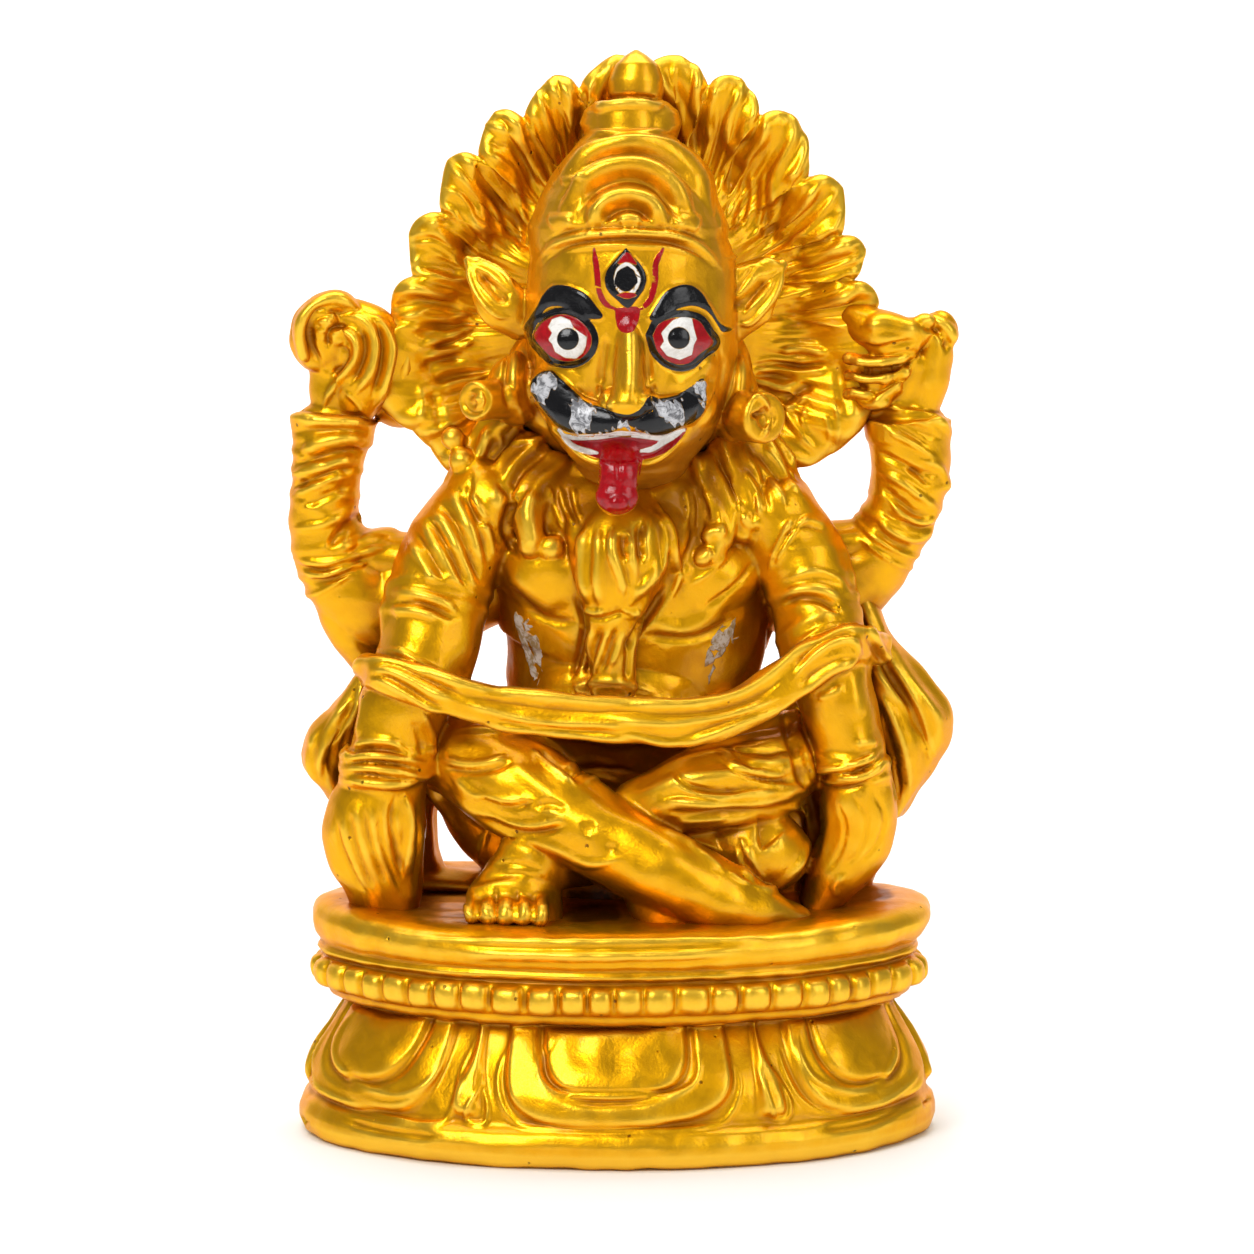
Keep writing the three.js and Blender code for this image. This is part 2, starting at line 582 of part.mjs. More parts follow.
// The crown: nested arches over the brow, then a cushion and a bud.
function crown() {
  const [x, , z] = [1.5, -4, 126.5];
  // the dome the arches lie on: [half width, height above the knob]
  const dome = [
    [13.9, -6], [14.1, -3], [13.6, 0], [11.4, 3.4], [9.4, 6.4], [7.8, 9.8], [6.4, 12.6], [5.6, 16]
  ];
  const depthAt = (u, v) => {
    const k = Math.max(1, dome.findIndex(([, up]) => up > v));
    const [[w0, v0], [w1, v1]] = [dome[k - 1], dome[k]];
    const half = w0 + ((w1 - w0) * (v - v0)) / (v1 - v0);
    return -3.4 - 0.97 * Math.sqrt(Math.max(0.2, half ** 2 - u ** 2));
  };
  const arch = (wide, rise, foot, thick) =>
    limb(
      Array.from({ length: 11 }, (_, k) => {
        const a = (k / 10) * Math.PI;
        const [u, v] = [wide * Math.cos(a), foot + (rise - foot) * Math.sin(a) ** 0.8];
        return [x + u + 0.03 * v, depthAt(u, v), z + v];
      }),
      Array.from({ length: 11 }, () => [thick, thick * 0.9]),
      { sides: 12, steps: 30 },
    );
  return join([
    turned(
      dome.map(([half, up]) => [half, up]).concat([[0, 16]]).toSpliced(0, 0, [0, -6]), [x, -3.4, z],
      UP, 0.97,
    ),
    arch(13.2, -1.2, -4.6, 0.75),
    arch(3, 2.4, -1.6, 0.7),
    arch(6.4, 5.2, -1.8, 0.85),
    arch(9.6, 8, -1.8, 0.95),
    arch(11.6, 11, -1.6, 0.9),
    arch(8, 14, 5, 0.8),
    ball([x, depthAt(0, 0) - 0.2, z - 0.2], [1.7, 1.3, 1.5]),
    turned(
      [[0, -3.4], [5.2, -3.2], [6.6, -1.6], [6.9, 0.2], [6.1, 2], [4.4, 3], [0, 3.2]],
      [2, -1, 140.5], new THREE.Vector3(0, -0.12, 1), 0.88,
    ),
    turned(
      [[0, -4], [3.1, -3.6], [3.8, -2], [3.8, 0], [3, 2.2], [1.6, 3.4], [0, 3.8]],
      [2.5, 0.5, 146], new THREE.Vector3(0, 0.05, 1), 0.9,
    ),
  ]);
}

// The crossed legs in their draped cloth, and the foot that shows.
function legs() {
  const swags = (list) => (t, turn) =>
    list.reduce(
      (swell, [at, half, height, sag, slant]) =>
        swell + height * bump((t - at - sag * Math.max(0, Math.sin(turn)) - slant * Math.cos(turn)) / half),
      1,
    );
  const toes = [0, 1, 2, 3, 4].map((i) =>
    limb(
      [
        [-19.4 + 2.3 * i, -14.5 - 0.4 * i, 35.2], [-19.7 + 2.35 * i, -18.4 - 0.5 * i, 34],
        [-19.7 + 2.35 * i, -20 - 0.4 * i, 33],
      ],
      [[1.1, 1.2], [1.2, 1.3], [1.1, 1.1]],
      { sides: 12, steps: 8 },
    ),
  );
  return join([
    limb([[-8, 8, 49], [-15.5, 3, 50.5], [-23, -3, 53]], [[8, 8], [7, 7.4], [5.6, 6]]),
    limb(
      [
        [-23, -3, 53.5], [-19, -6, 52], [-10.5, -11, 48], [-1.5, -15, 43], [8.5, -18.5, 38],
        [19, -18.5, 33.5], [27, -13, 30.5],
      ],
      [[5.6, 6], [6.6, 6.6], [7, 6.6], [6.2, 6.2], [5.6, 5.4], [4.6, 4.6], [3, 3.4]],
      {
        sides: 40,
        steps: 120,
        relief: swags([
          [
            0.04, 0.03, 0.09, 0.05, 0.02,
          ], [0.12, 0.03, 0.1, 0.06, 0.03], [0.2, 0.035, 0.1, 0.07, 0.04],
          [0.29, 0.035, 0.1, 0.07, 0.05], [
            0.38, 0.035, 0.09, 0.07, 0.05,
          ], [0.47, 0.035, 0.07, 0.06, 0.05],
        ]),
      },
    ),
    limb([[10.5, 8, 46.5], [18, 4, 49], [24, -3, 53.5]], [[8.5, 9], [8, 8.5], [5.6, 6.5]]),
    limb(
      [[25, -5, 52], [20, -9.5, 49], [11.5, -12.5, 46.5], [2, -11, 42.5]],
      [[4.6, 5.4], [7, 7], [7.6, 6.4], [6, 5]],
      {
        sides: 36,
        steps: 60,
        facing: UP,
        relief: (t, turn) => 1 + 0.06 * Math.cos(9 * turn + 2 * t) * smooth(t * 5) * smooth(4 - 4 * t),
      },
    ),
    ball([19.5, -7.5, 41], [8, 6.4, 6.6], [0, 24, 0]),
    limb([[10, -8, 41.5], [17, -9, 38]], [[5, 5], [5, 4.4]]),
    limb(
      [[3.5, -8, 42], [-4.5, -10.5, 40.5], [-11, -12.5, 39.5], [-13, -13.5, 36]],
      [[5, 5], [4.8, 5], [4.6, 4.8], [4.8, 4.6]],
    ),
    limb([[-13, -12, 37], [-14, -14.5, 33.5], [-14.5, -16, 32]], [[5.4, 5], [6, 5], [5.8, 3.4]]),
    ...toes,
  ]);
}

// The band of cloth that runs round both forearms in front of the belly.
function band() {
  const run = [
    // [point of the line, [half its width, half its thickness]]
    [[-34.5, -3, 63.5], [2.4, 1.6]],
    [[-32.5, -12.5, 64.5], [2.6, 1.8]],
    [[-25.5, -16, 62.5], [2.6, 1.8]],
    [[-16, -16.5, 60.5], [2.4, 1.7]],
    [[-6.5, -17, 60], [2.4, 1.7]],
    [[3.5, -17.5, 59], [2.8, 1.7]],
    [[11.5, -17, 59.5], [3.4, 1.8]],
    [[18.5, -15.5, 61], [3, 1.8]],
    [[25, -13, 65], [2.8, 1.8]],
    [[31.5, -12, 68], [2.4, 1.8]],
    [[36.5, -3, 67], [2.2, 1.6]],
  ];
  return limb(
    run.map(([at]) => at),
    run.map(([, size]) => size),
    { sides: 22, steps: 60, relief: (t, turn) => 1 + 0.1 * Math.cos(4 * turn) },
  );
}

// The seat, the back, and the cloth that falls behind the arms on both sides.
function seat() {
  const folds = (count, height) => (t, turn) =>
    1 + height * Math.cos(count * turn + 2 * t) * bump((t - 0.55) / 0.6);
  return join([
    limb(
      [
        [3.5, 12, 30.5], [1.5, 12, 40], [0.5, 10.5, 50], [1, 9, 62], [1.5, 9, 74.5], [1.5, 8, 87.5],
        [2, 7, 99],
      ],
      [[20, 8.5], [21, 9.5], [17, 9], [14.5, 8.6], [19, 8], [24, 7], [22, 5]],
      { sides: 44, steps: 60, dome: 0.5, relief: folds(8, 0.025) },
    ),
    limb([[-22.5, 8, 79], [-16.5, 8, 84.5], [1.5, 7.5, 87.5], [19, 8, 84.5], [26, 8, 79]],
      [[6, 5.6], [7.4, 6.4], [9, 6.6], [7.4, 6.4], [6, 5.6]]),
    limb([[-20.5, 4, 49.5], [-13.5, 8, 42], [-5, 12, 34]], [[5, 5], [6, 7], [8, 8]]),
    // the viewer's left
    limb(
      [[-34, 3, 65.5], [-38, 3, 59], [-39.5, 4, 52.5], [-37.5, 5, 45.5]],
      [[2.6, 4.4], [4.6, 5.4], [4.6, 5.6], [2.6, 4]],
      { sides: 32, steps: 40, relief: folds(7, 0.08) },
    ),
    limb(
      [[-26.5, 8.5, 74.5], [-28.5, 9, 64.5], [-31, 9.5, 53], [-31.5, 10, 41.5], [-31, 10.5, 32]],
      [[7, 5], [7.4, 6], [7.6, 6.4], [5.4, 6], [4.6, 5]],
      { sides: 36, steps: 50, relief: folds(9, 0.06) },
    ),
    limb([[-23.5, 8, 67.5], [-23, 8, 56.5], [-22, 8, 48.5]], [[5, 6], [6.4, 7.4], [5, 6]]),
    // the viewer's right
    limb(
      [[34, 5, 77], [39, 4, 67.5], [42.5, 3, 60], [43.5, 4, 53.5], [39, 6, 45]],
      [[2, 3.6], [3.2, 4.6], [3.8, 5.4], [3.6, 5.6], [2.4, 4]],
      { sides: 32, steps: 50, relief: folds(6, 0.08) },
    ),
    limb(
      [[34.5, 3, 71], [38, 2, 60], [39.5, 3, 51.5], [37.5, 5, 44]],
      [[2.4, 4], [3.4, 5], [3.6, 5], [2, 4]],
    ),
    limb(
      [[29, 8.5, 74.5], [31.5, 9, 63.5], [33, 9.5, 52], [31.5, 10, 40], [29.5, 10.5, 32]],
      [[7, 5], [7.4, 6], [7.6, 6.8], [7.4, 6.4], [6, 5]],
      { sides: 36, steps: 50, relief: folds(9, 0.06) },
    ),
    limb(
      [[27.5, 9, 67.5], [27.5, 10, 59], [24, 11, 50], [20.5, 11.5, 40], [19, 12, 32.5]],
      [[4, 5], [4, 6], [6.6, 7], [8.4, 8], [9, 7]],
    ),
  ]);
}

// Thins a closed mesh to a number of triangles, the flattest places first. Each edge is
// costed by how far its two ends would leave the planes that meet there (quadric error),
// and the cheapest edge is closed up, again and again. care(x, y, z) makes a place cost more.
function thin({ vertProperties, triVerts }, target, care) {
  const spot = Float64Array.from(vertProperties);
  const faces = Array.from(
    { length: triVerts.length / 3 }, (_, i) => [...triVerts.subarray(3 * i, 3 * i + 3)],
  );
  const count = spot.length / 3;
  const around = Array.from({ length: count }, () => new Set());
  faces.forEach((face, f) => face.forEach((v) => around[v].add(f)));
  const normalOf = (a, b, c) => {
    const [ux, uy, uz] = [b[0] - a[0], b[1] - a[1], b[2] - a[2]];
    const [vx, vy, vz] = [c[0] - a[0], c[1] - a[1], c[2] - a[2]];
    return [uy * vz - uz * vy, uz * vx - ux * vz, ux * vy - uy * vx];
  };
  const at = (v) => [spot[3 * v], spot[3 * v + 1], spot[3 * v + 2]];
  const quadric = Array.from({ length: count }, () => new Float64Array(10));
  for (const face of faces) {
    const corners = face.map(at);
    const n = normalOf(...corners);
    const size = Math.hypot(...n);
    if (size < 1e-12) continue;
    const [a, b, c] = n.map((k) => k / size);
    const d = -(a * corners[0][0] + b * corners[0][1] + c * corners[0][2]);
    const weight = size * care(...corners[0]);
    const terms = [a * a, a * b, a * c, a * d, b * b, b * c, b * d, c * c, c * d, d * d];
    for (const v of face) terms.forEach((term, i) => (quadric[v][i] += term * weight));
  }
  const costOf = (q, [x, y, z]) =>
    q[0] * x * x + 2 * q[1] * x * y + 2 * q[2] * x * z + 2 * q[3] * x + q[4] * y * y +
    2 * q[5] * y * z + 2 * q[6] * y + q[7] * z * z + 2 * q[8] * z + q[9];
  const matrix = new THREE.Matrix3();
  const flattest = new THREE.Vector3();
  const bestPlace = (q, u, v) => {
    const [a, b] = [at(u), at(v)];
    const middle = a.map((k, i) => (k + b[i]) / 2);
    const length = Math.hypot(a[0] - b[0], a[1] - b[1], a[2] - b[2]);
    const choices = [a, b, middle];
    matrix.set(q[0], q[1], q[2], q[1], q[4], q[5], q[2], q[5], q[7]);
    if (Math.abs(matrix.determinant()) > 1e-7) {
      const [x, y, z] = flattest.set(-q[3], -q[6], -q[8]).applyMatrix3(matrix.invert());
      if (Math.hypot(
        x - middle[0], y - middle[1], z - middle[2],
      ) < 2 * length) choices.push([x, y, z]);
    }
    let best = null;
    for (const place of choices) {
      const cost = costOf(q, place) + 2e-4 * length ** 2;
      if (!best || cost < best.cost) best = { cost, place };
    }
    return best;
  };
  const heap = [];
  const push = (item) => {
    let i = heap.push(item) - 1;
    while (i > 0 && heap[(i - 1) >> 1].cost > heap[i].cost) {
      const up = (i - 1) >> 1;
      [heap[i], heap[up]] = [heap[up], heap[i]];
      i = up;
    }
  };
  const pop = () => {
    const top = heap[0];
    const last = heap.pop();
    if (heap.length) {
      heap[0] = last;
      for (let i = 0; ; ) {
        const left = 2 * i + 1;
        if (left >= heap.length) break;
        const right = left + 1 < heap.length && heap[left + 1].cost < heap[left].cost;
        const small = right ? left + 1 : left;
        if (heap[i].cost <= heap[small].cost) break;
        [heap[i], heap[small]] = [heap[small], heap[i]];
        i = small;
      }
    }
    return top;
  };
  const stamp = new Int32Array(count);
  const neighbours = (v) => {
    const found = new Set();
    for (const f of around[v]) for (const w of faces[f]) if (w !== v) found.add(w);
    return found;
  };
  const offer = (u, v) => {
    const sum = quadric[u].map((k, i) => k + quadric[v][i]);
    push({ ...bestPlace(sum, u, v), u, v, su: stamp[u], sv: stamp[v] });
  };
  for (let v = 0; v < count; v++) for (const w of neighbours(v)) if (v < w) offer(v, w);
  const turnsOver = (v, other, place) => {
    for (const f of around[v]) {
      if (faces[f].includes(other)) continue;
      const before = faces[f].map(at);
      const after = faces[f].map((w, i) => (w === v ? place : before[i]));
      const [n0, n1] = [normalOf(...before), normalOf(...after)];
      const size = Math.hypot(...n0) * Math.hypot(...n1);
      const facing = n0[0] * n1[0] + n0[1] * n1[1] + n0[2] * n1[2];
      if (facing < 0.3 * size || Math.hypot(...n1) < 1e-4) return true;
    }
    return false;
  };
  let left = faces.length;
  while (left > target && heap.length) {
    const { u, v, su, sv, place } = pop();
    if (stamp[u] !== su || stamp[v] !== sv) continue;
    const [nu, nv] = [neighbours(u), neighbours(v)];
    let shared = 0;
    for (const w of nu) if (nv.has(w)) shared++;
    if (shared !== 2 || turnsOver(u, v, place) || turnsOver(v, u, place)) continue;
    for (const f of [...around[u]]) {
      if (faces[f].includes(v)) {
        for (const w of faces[f]) around[w].delete(f);
        faces[f] = null;
        left--;
      } else {
        faces[f] = faces[f].map((w) => (w === u ? v : w));
        around[v].add(f);
      }
    }
    around[u].clear();
    stamp[u]++;
    stamp[v]++;
    for (let i = 0; i < 3; i++) spot[3 * v + i] = place[i];
    for (let i = 0; i < 10; i++) quadric[v][i] += quadric[u][i];
    for (const w of neighbours(v)) offer(v, w);
  }
  const kept = faces.filter((face) => face);
  const newIndex = new Map();
  const places = [];
  for (const face of kept)
    for (const v of face)
      if (!newIndex.has(v)) {
        newIndex.set(v, newIndex.size);
        const [x, y, z] = at(v);
        places.push(x, y, Math.abs(z) < 0.1 ? 0 : z);
      }
  return { places, corners: kept.flat().map((v) => newIndex.get(v)) };
}

function casting() {
  const whole = join([
    plinth(), seat(), trunk(), legs(), frontArm(-1), frontArm(1), rearArm(-1), rearArm(1),
    leftHand(), rightHand(), band(), mane(), beard(), crown(), head(),
  ]);
  const inFace = (x, y, z) => (y < -10 && z > 84 ? 6 : 1);
  // closed pockets inside the joined limbs are dropped, which fills them
  const body = whole.decompose().reduce((a, b) => (b.volume() > a.volume() ? b : a));
  const { places, corners } = thin(body.getMesh(), TRIANGLES, inFace);
  const geometry = new THREE.BufferGeometry();
  geometry.setAttribute("position", new THREE.Float32BufferAttribute(places, 3));
  geometry.setIndex(corners);
  geometry.computeVertexNormals();
  return geometry;
}

const goldPaint = new THREE.MeshStandardMaterial({
  color: 0xd9a017, roughness: 0.32, metalness: 0.85,
});
const statue = new THREE.Mesh(casting(), goldPaint);
statue.name = "narasimha_statue";

const group = new THREE.Group();
group.add(statue);
export default group;
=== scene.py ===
import math

import bpy
import numpy as np
from mathutils import Matrix, Vector
from mathutils.bvhtree import BVHTree


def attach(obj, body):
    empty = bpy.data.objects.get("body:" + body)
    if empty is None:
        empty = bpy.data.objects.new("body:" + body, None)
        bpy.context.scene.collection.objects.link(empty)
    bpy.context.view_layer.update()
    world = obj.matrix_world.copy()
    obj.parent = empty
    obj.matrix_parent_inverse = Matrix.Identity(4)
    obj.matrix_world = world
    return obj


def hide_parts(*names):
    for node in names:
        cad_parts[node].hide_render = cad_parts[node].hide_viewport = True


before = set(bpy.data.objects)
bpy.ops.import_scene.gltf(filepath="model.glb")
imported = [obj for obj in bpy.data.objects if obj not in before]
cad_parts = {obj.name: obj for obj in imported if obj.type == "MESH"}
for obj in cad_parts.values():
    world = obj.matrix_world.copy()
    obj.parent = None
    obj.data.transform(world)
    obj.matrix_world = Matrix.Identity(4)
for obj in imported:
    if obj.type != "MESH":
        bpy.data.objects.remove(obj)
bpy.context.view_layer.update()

# the photograph's view, in mm and in the photograph's pixels
AWAY = 650.0  # how far in front of the middle plane the camera stands
EYE = np.array([1.5, -AWAY, 145.0])
DOWN = math.radians(6.543178)  # how far it looks down
FOCAL = 4695.8
PHOTO = 1254  # the photograph's side
PIXEL = AWAY / FOCAL  # what a pixel covers at the middle plane
AHEAD = np.array([0, math.cos(DOWN), -math.sin(DOWN)])
ABOVE = np.array([0, math.sin(DOWN), math.cos(DOWN)])

PLINTH_TOP = 32.0
PLAN = (42.0, 28.0)  # half axes of the plinth's oval, at its bead row
MANE = np.array([2.8, 4.0, 117.0])  # centre of the halo of locks
SKULL = (2.2, -4.0)  # the head's middle in plan
FRONT, UP = np.array([0.0, -1, 0]), np.array([0.0, 0, 1])


def spot(px, py, depth):
    """The point at a place in the photograph, at a depth in mm behind the middle plane."""
    ray = AHEAD + np.array([1, 0, 0]) * (px - PHOTO / 2) / FOCAL + ABOVE * (PHOTO / 2 - py) / FOCAL
    return EYE + ray * (depth - EYE[1]) / ray[1]


def place_in_photo(points):
    away = points - EYE
    far = away @ AHEAD
    return PHOTO / 2 + FOCAL * away[:, 0] / far, PHOTO / 2 - FOCAL * (away @ ABOVE) / far


# rough forms

def smooth(x):
    """Rises from 0 to 1 with x, with soft ends."""
    x = np.clip(x, 0, 1)
    return x * x * (3 - 2 * x)


def bump(x):
    """A soft hill of height 1 from -1 to 1."""
    return np.where(np.abs(x) < 1, 0.5 + 0.5 * np.cos(np.pi * np.clip(x, -1, 1)), 0)


def curve(points, where, even=False):
    """Points on a smooth line through the given ones, at places 0 to 1 along it. Its bends
    follow the spacing of the points, unless all stretches count as even."""
    p = np.array(points, float)
    p = np.vstack([2 * p[0] - p[1], p, 2 * p[-1] - p[-2]])
    t = np.clip(np.asarray(where, float), 0, 1) * (len(p) - 3)
    k = np.minimum(t.astype(int), len(p) - 4)
    s = (t - k)[:, None]
    a, b, c, d = p[k], p[k + 1], p[k + 2], p[k + 3]
    if even:
        u = v = w = np.ones((len(k), 1))
    else:
        span = lambda g, h: np.maximum(np.linalg.norm(g - h, axis=1), 1e-6)[:, None] ** 0.5
        u, v, w = span(b, a), span(c, b), span(d, c)
    leaving = ((b - a) / u - (c - a) / (u + v) + (c - b) / v) * v
    arriving = ((c - b) / v - (d - b) / (v + w) + (d - c) / w) * v
    first = (2 * s**3 - 3 * s**2 + 1) * b + (s**3 - 2 * s**2 + s) * leaving
    return first + (3 * s**2 - 2 * s**3) * c + (s**3 - s**2) * arriving


def finely(line):
    """The smooth line through a few drawn points, in short straight steps."""
    return curve(line, np.linspace(0, 1, 6 * len(line)))


def skin(rings):
    """A closed skin over rings of points, (rows, columns, 3). The first and last are poles."""
    rows, columns = rings.shape[:2]
    inner = rings[1:-1].reshape(-1, 3)
    points = np.vstack([rings[0, 0], inner, rings[-1, 0]])
    at = 1 + np.arange(len(inner)).reshape(rows - 2, columns)
    beside = np.roll(at, -1, axis=1)
    walls = np.stack([at[:-1], beside[:-1], beside[1:], at[1:]], axis=-1).reshape(-1, 4)
    low = np.stack([np.zeros(columns, int), beside[0], at[0]], axis=-1)
    high = np.stack([np.full(columns, len(points) - 1), at[-1], beside[-1]], axis=-1)
    a, b, c = points[walls[:, 0]], points[walls[:, 1]], points[walls[:, 2]]
    if np.einsum("ij,ij->i", np.cross(b - a, c - a), a - points.mean(0)).sum() < 0:
        walls, low, high = walls[:, ::-1], low[:, ::-1], high[:, ::-1]
    return points, walls.tolist() + low.tolist() + high.tolist()


def limb(line, sizes, sides=32, steps=60, dome=0.8, facing=FRONT, relief=None):
    """A tube of oval section along a smooth line, with domed ends. sizes holds the half
    width and the half depth at each point. relief(t, turn) swells it by a factor."""
    cap = 6  # rings in a domed end
    t = np.concatenate([np.zeros(cap), np.linspace(0, 1, steps + 1), np.ones(cap)])
    closing = np.linspace(90, 15, cap)
    angle = np.radians(np.concatenate([closing, np.zeros(steps + 1), np.linspace(15, 90, cap)]))
    end = np.concatenate([-np.ones(cap), np.zeros(steps + 1), np.ones(cap)])
    centre = curve(line, t)
    along = curve(line, t + 1e-3) - curve(line, t - 1e-3)
    along /= np.linalg.norm(along, axis=1)[:, None]
    deep = facing - along * (along @ facing)[:, None]
    deep /= np.linalg.norm(deep, axis=1)[:, None]
    wide = np.cross(along, deep)
    size = curve(sizes, t, even=True)
    centre = centre + along * (end * np.sin(angle) * dome * size.min(1))[:, None]
    turn = np.arange(sides) / sides * 2 * np.pi
    carved = np.ones((len(t), sides)) if relief is None else relief(t[:, None], turn[None])
    swell = np.cos(angle)[:, None] * carved
    swell[[0, -1]] = 0
    return skin(
        centre[:, None]
        + wide[:, None] * (np.cos(turn) * size[:, :1] * swell)[..., None]
        + deep[:, None] * (np.sin(turn) * size[:, 1:] * swell)[..., None]
    )


def drawn(*stations, **more):
    """A limb through places in the photograph. A station is (pixels across, pixels down,
    depth, half width, half depth)."""
    return limb([spot(*one[:3]) for one in stations], [one[3:] for one in stations], **more)


def rings_on(*marks):
    """Relief of raised rings round a limb: (place along, half width, height, slant)."""
    ring = lambda t, turn, a, w, h, s: h * bump((t - a - s * np.cos(turn)) / w)
    return lambda t, turn: 1 + sum(ring(t, turn, *mark) for mark in marks)


def swags(*marks):
    """Relief of hanging folds round a limb: (place along, half width, height, sag, slant)."""
    return lambda t, turn: 1 + sum(
        h * bump((t - a - g * np.maximum(0, np.sin(turn)) - s * np.cos(turn)) / w)
        for a, w, h, g, s in marks
    )


def pleats(count, height, twist=0.0):
    """Relief of pleats along a limb, fading out at its ends."""
    return lambda t, turn: 1 + height * np.cos(count * turn + twist * t) * bump((t - 0.55) / 0.6)


def strands(count, height):
    """Relief of strands of hair that wind a little as they run along a limb."""
    return lambda t, turn: 1 + height * np.cos(count * (turn - np.pi / 2 + 0.2 * np.sin(5 * t)))


def ball(centre, radii, turn=(0, 0, 0)):
    angles = [math.radians(a) for a in turn]
    bpy.ops.mesh.primitive_uv_sphere_add(
        segments=40, ring_count=24, location=centre, rotation=angles, scale=radii
    )
    return bpy.context.object


def turned(profile, centre, axis=UP, squash=1.0):
    """A form turned about an axis, from (radius, height) pairs that start and end near the
    axis."""
    ways = [(math.cos(a), math.sin(a)) for a in np.linspace(0, 2 * np.pi, 48, False)]
    rings = np.array([[(r * x, r * y * squash, h) for x, y in ways] for r, h in profile])
    turn = Vector((0, 0, 1)).rotation_difference(Vector(axis).normalized()).to_matrix()
    return skin(rings @ np.array(turn).T + np.array(centre))


def bangles(px, py, y, count, across, deep, pitch, tilt):
    """Open rings round the front of a wrist, one below the other."""
    x, y, z = spot(px, py, y)
    a = np.linspace(-0.15, 1.15, 17) * np.pi
    ring = lambda i: np.stack(
        [x - across * np.cos(a), y - deep * np.sin(a), z - pitch * i + tilt * np.cos(a)], 1
    )
    return [limb(ring(i), [[0.72, 0.9]] * len(a), sides=16, facing=UP) for i in range(count)]


# from forms to a piece

def pick(*objects):
    """Selects objects and makes the first one active."""
    bpy.ops.object.select_all(action="DESELECT")
    for one in objects:
        one.select_set(True)
    bpy.context.view_layer.objects.active = objects[0]


def gather(name, forms):
    """One object of all the rough forms, still separate shells."""
    objects = []
    for form in forms:
        if isinstance(form, tuple):
            mesh = bpy.data.meshes.new(name)
            mesh.from_pydata(form[0], [], form[1])
            form = bpy.data.objects.new(name, mesh)
            bpy.context.collection.objects.link(form)
        objects.append(form)
    pick(*objects)
    bpy.ops.object.transform_apply(location=True, rotation=True, scale=True)
    bpy.ops.object.join()
    piece = bpy.context.object
    piece.name = piece.data.name = name
    return piece


def finish_with(piece, kind, **settings):
    """Adds a modifier and applies it."""
    pick(piece)
    tool = piece.modifiers.new(kind.lower(), kind)
    for key, value in settings.items():
        setattr(tool, key, value)
    bpy.ops.object.modifier_apply(modifier=tool.name)


def one_skin(piece, grain, soften):
    """Melts the joined forms into one closed skin and softens it."""
    finish_with(piece, "REMESH", mode="VOXEL", voxel_size=grain)
    finish_with(piece, "SMOOTH", factor=0.5, iterations=soften)


def thin_to(piece, triangles=195000):
    """Thins a piece that has more triangles, since the library takes 200,000 at most."""
    now = sum(len(f.vertices) - 2 for f in piece.data.polygons)
    if now > triangles:
        finish_with(piece, "DECIMATE", decimate_type="COLLAPSE", ratio=triangles / now)


def points_of(mesh, what):
    """The mesh's vertex places ("co") or directions ("normal"), one row each."""
    flat = np.empty(len(mesh.vertices) * 3)
    mesh.vertices.foreach_get(what, flat)
    return flat.reshape(-1, 3)


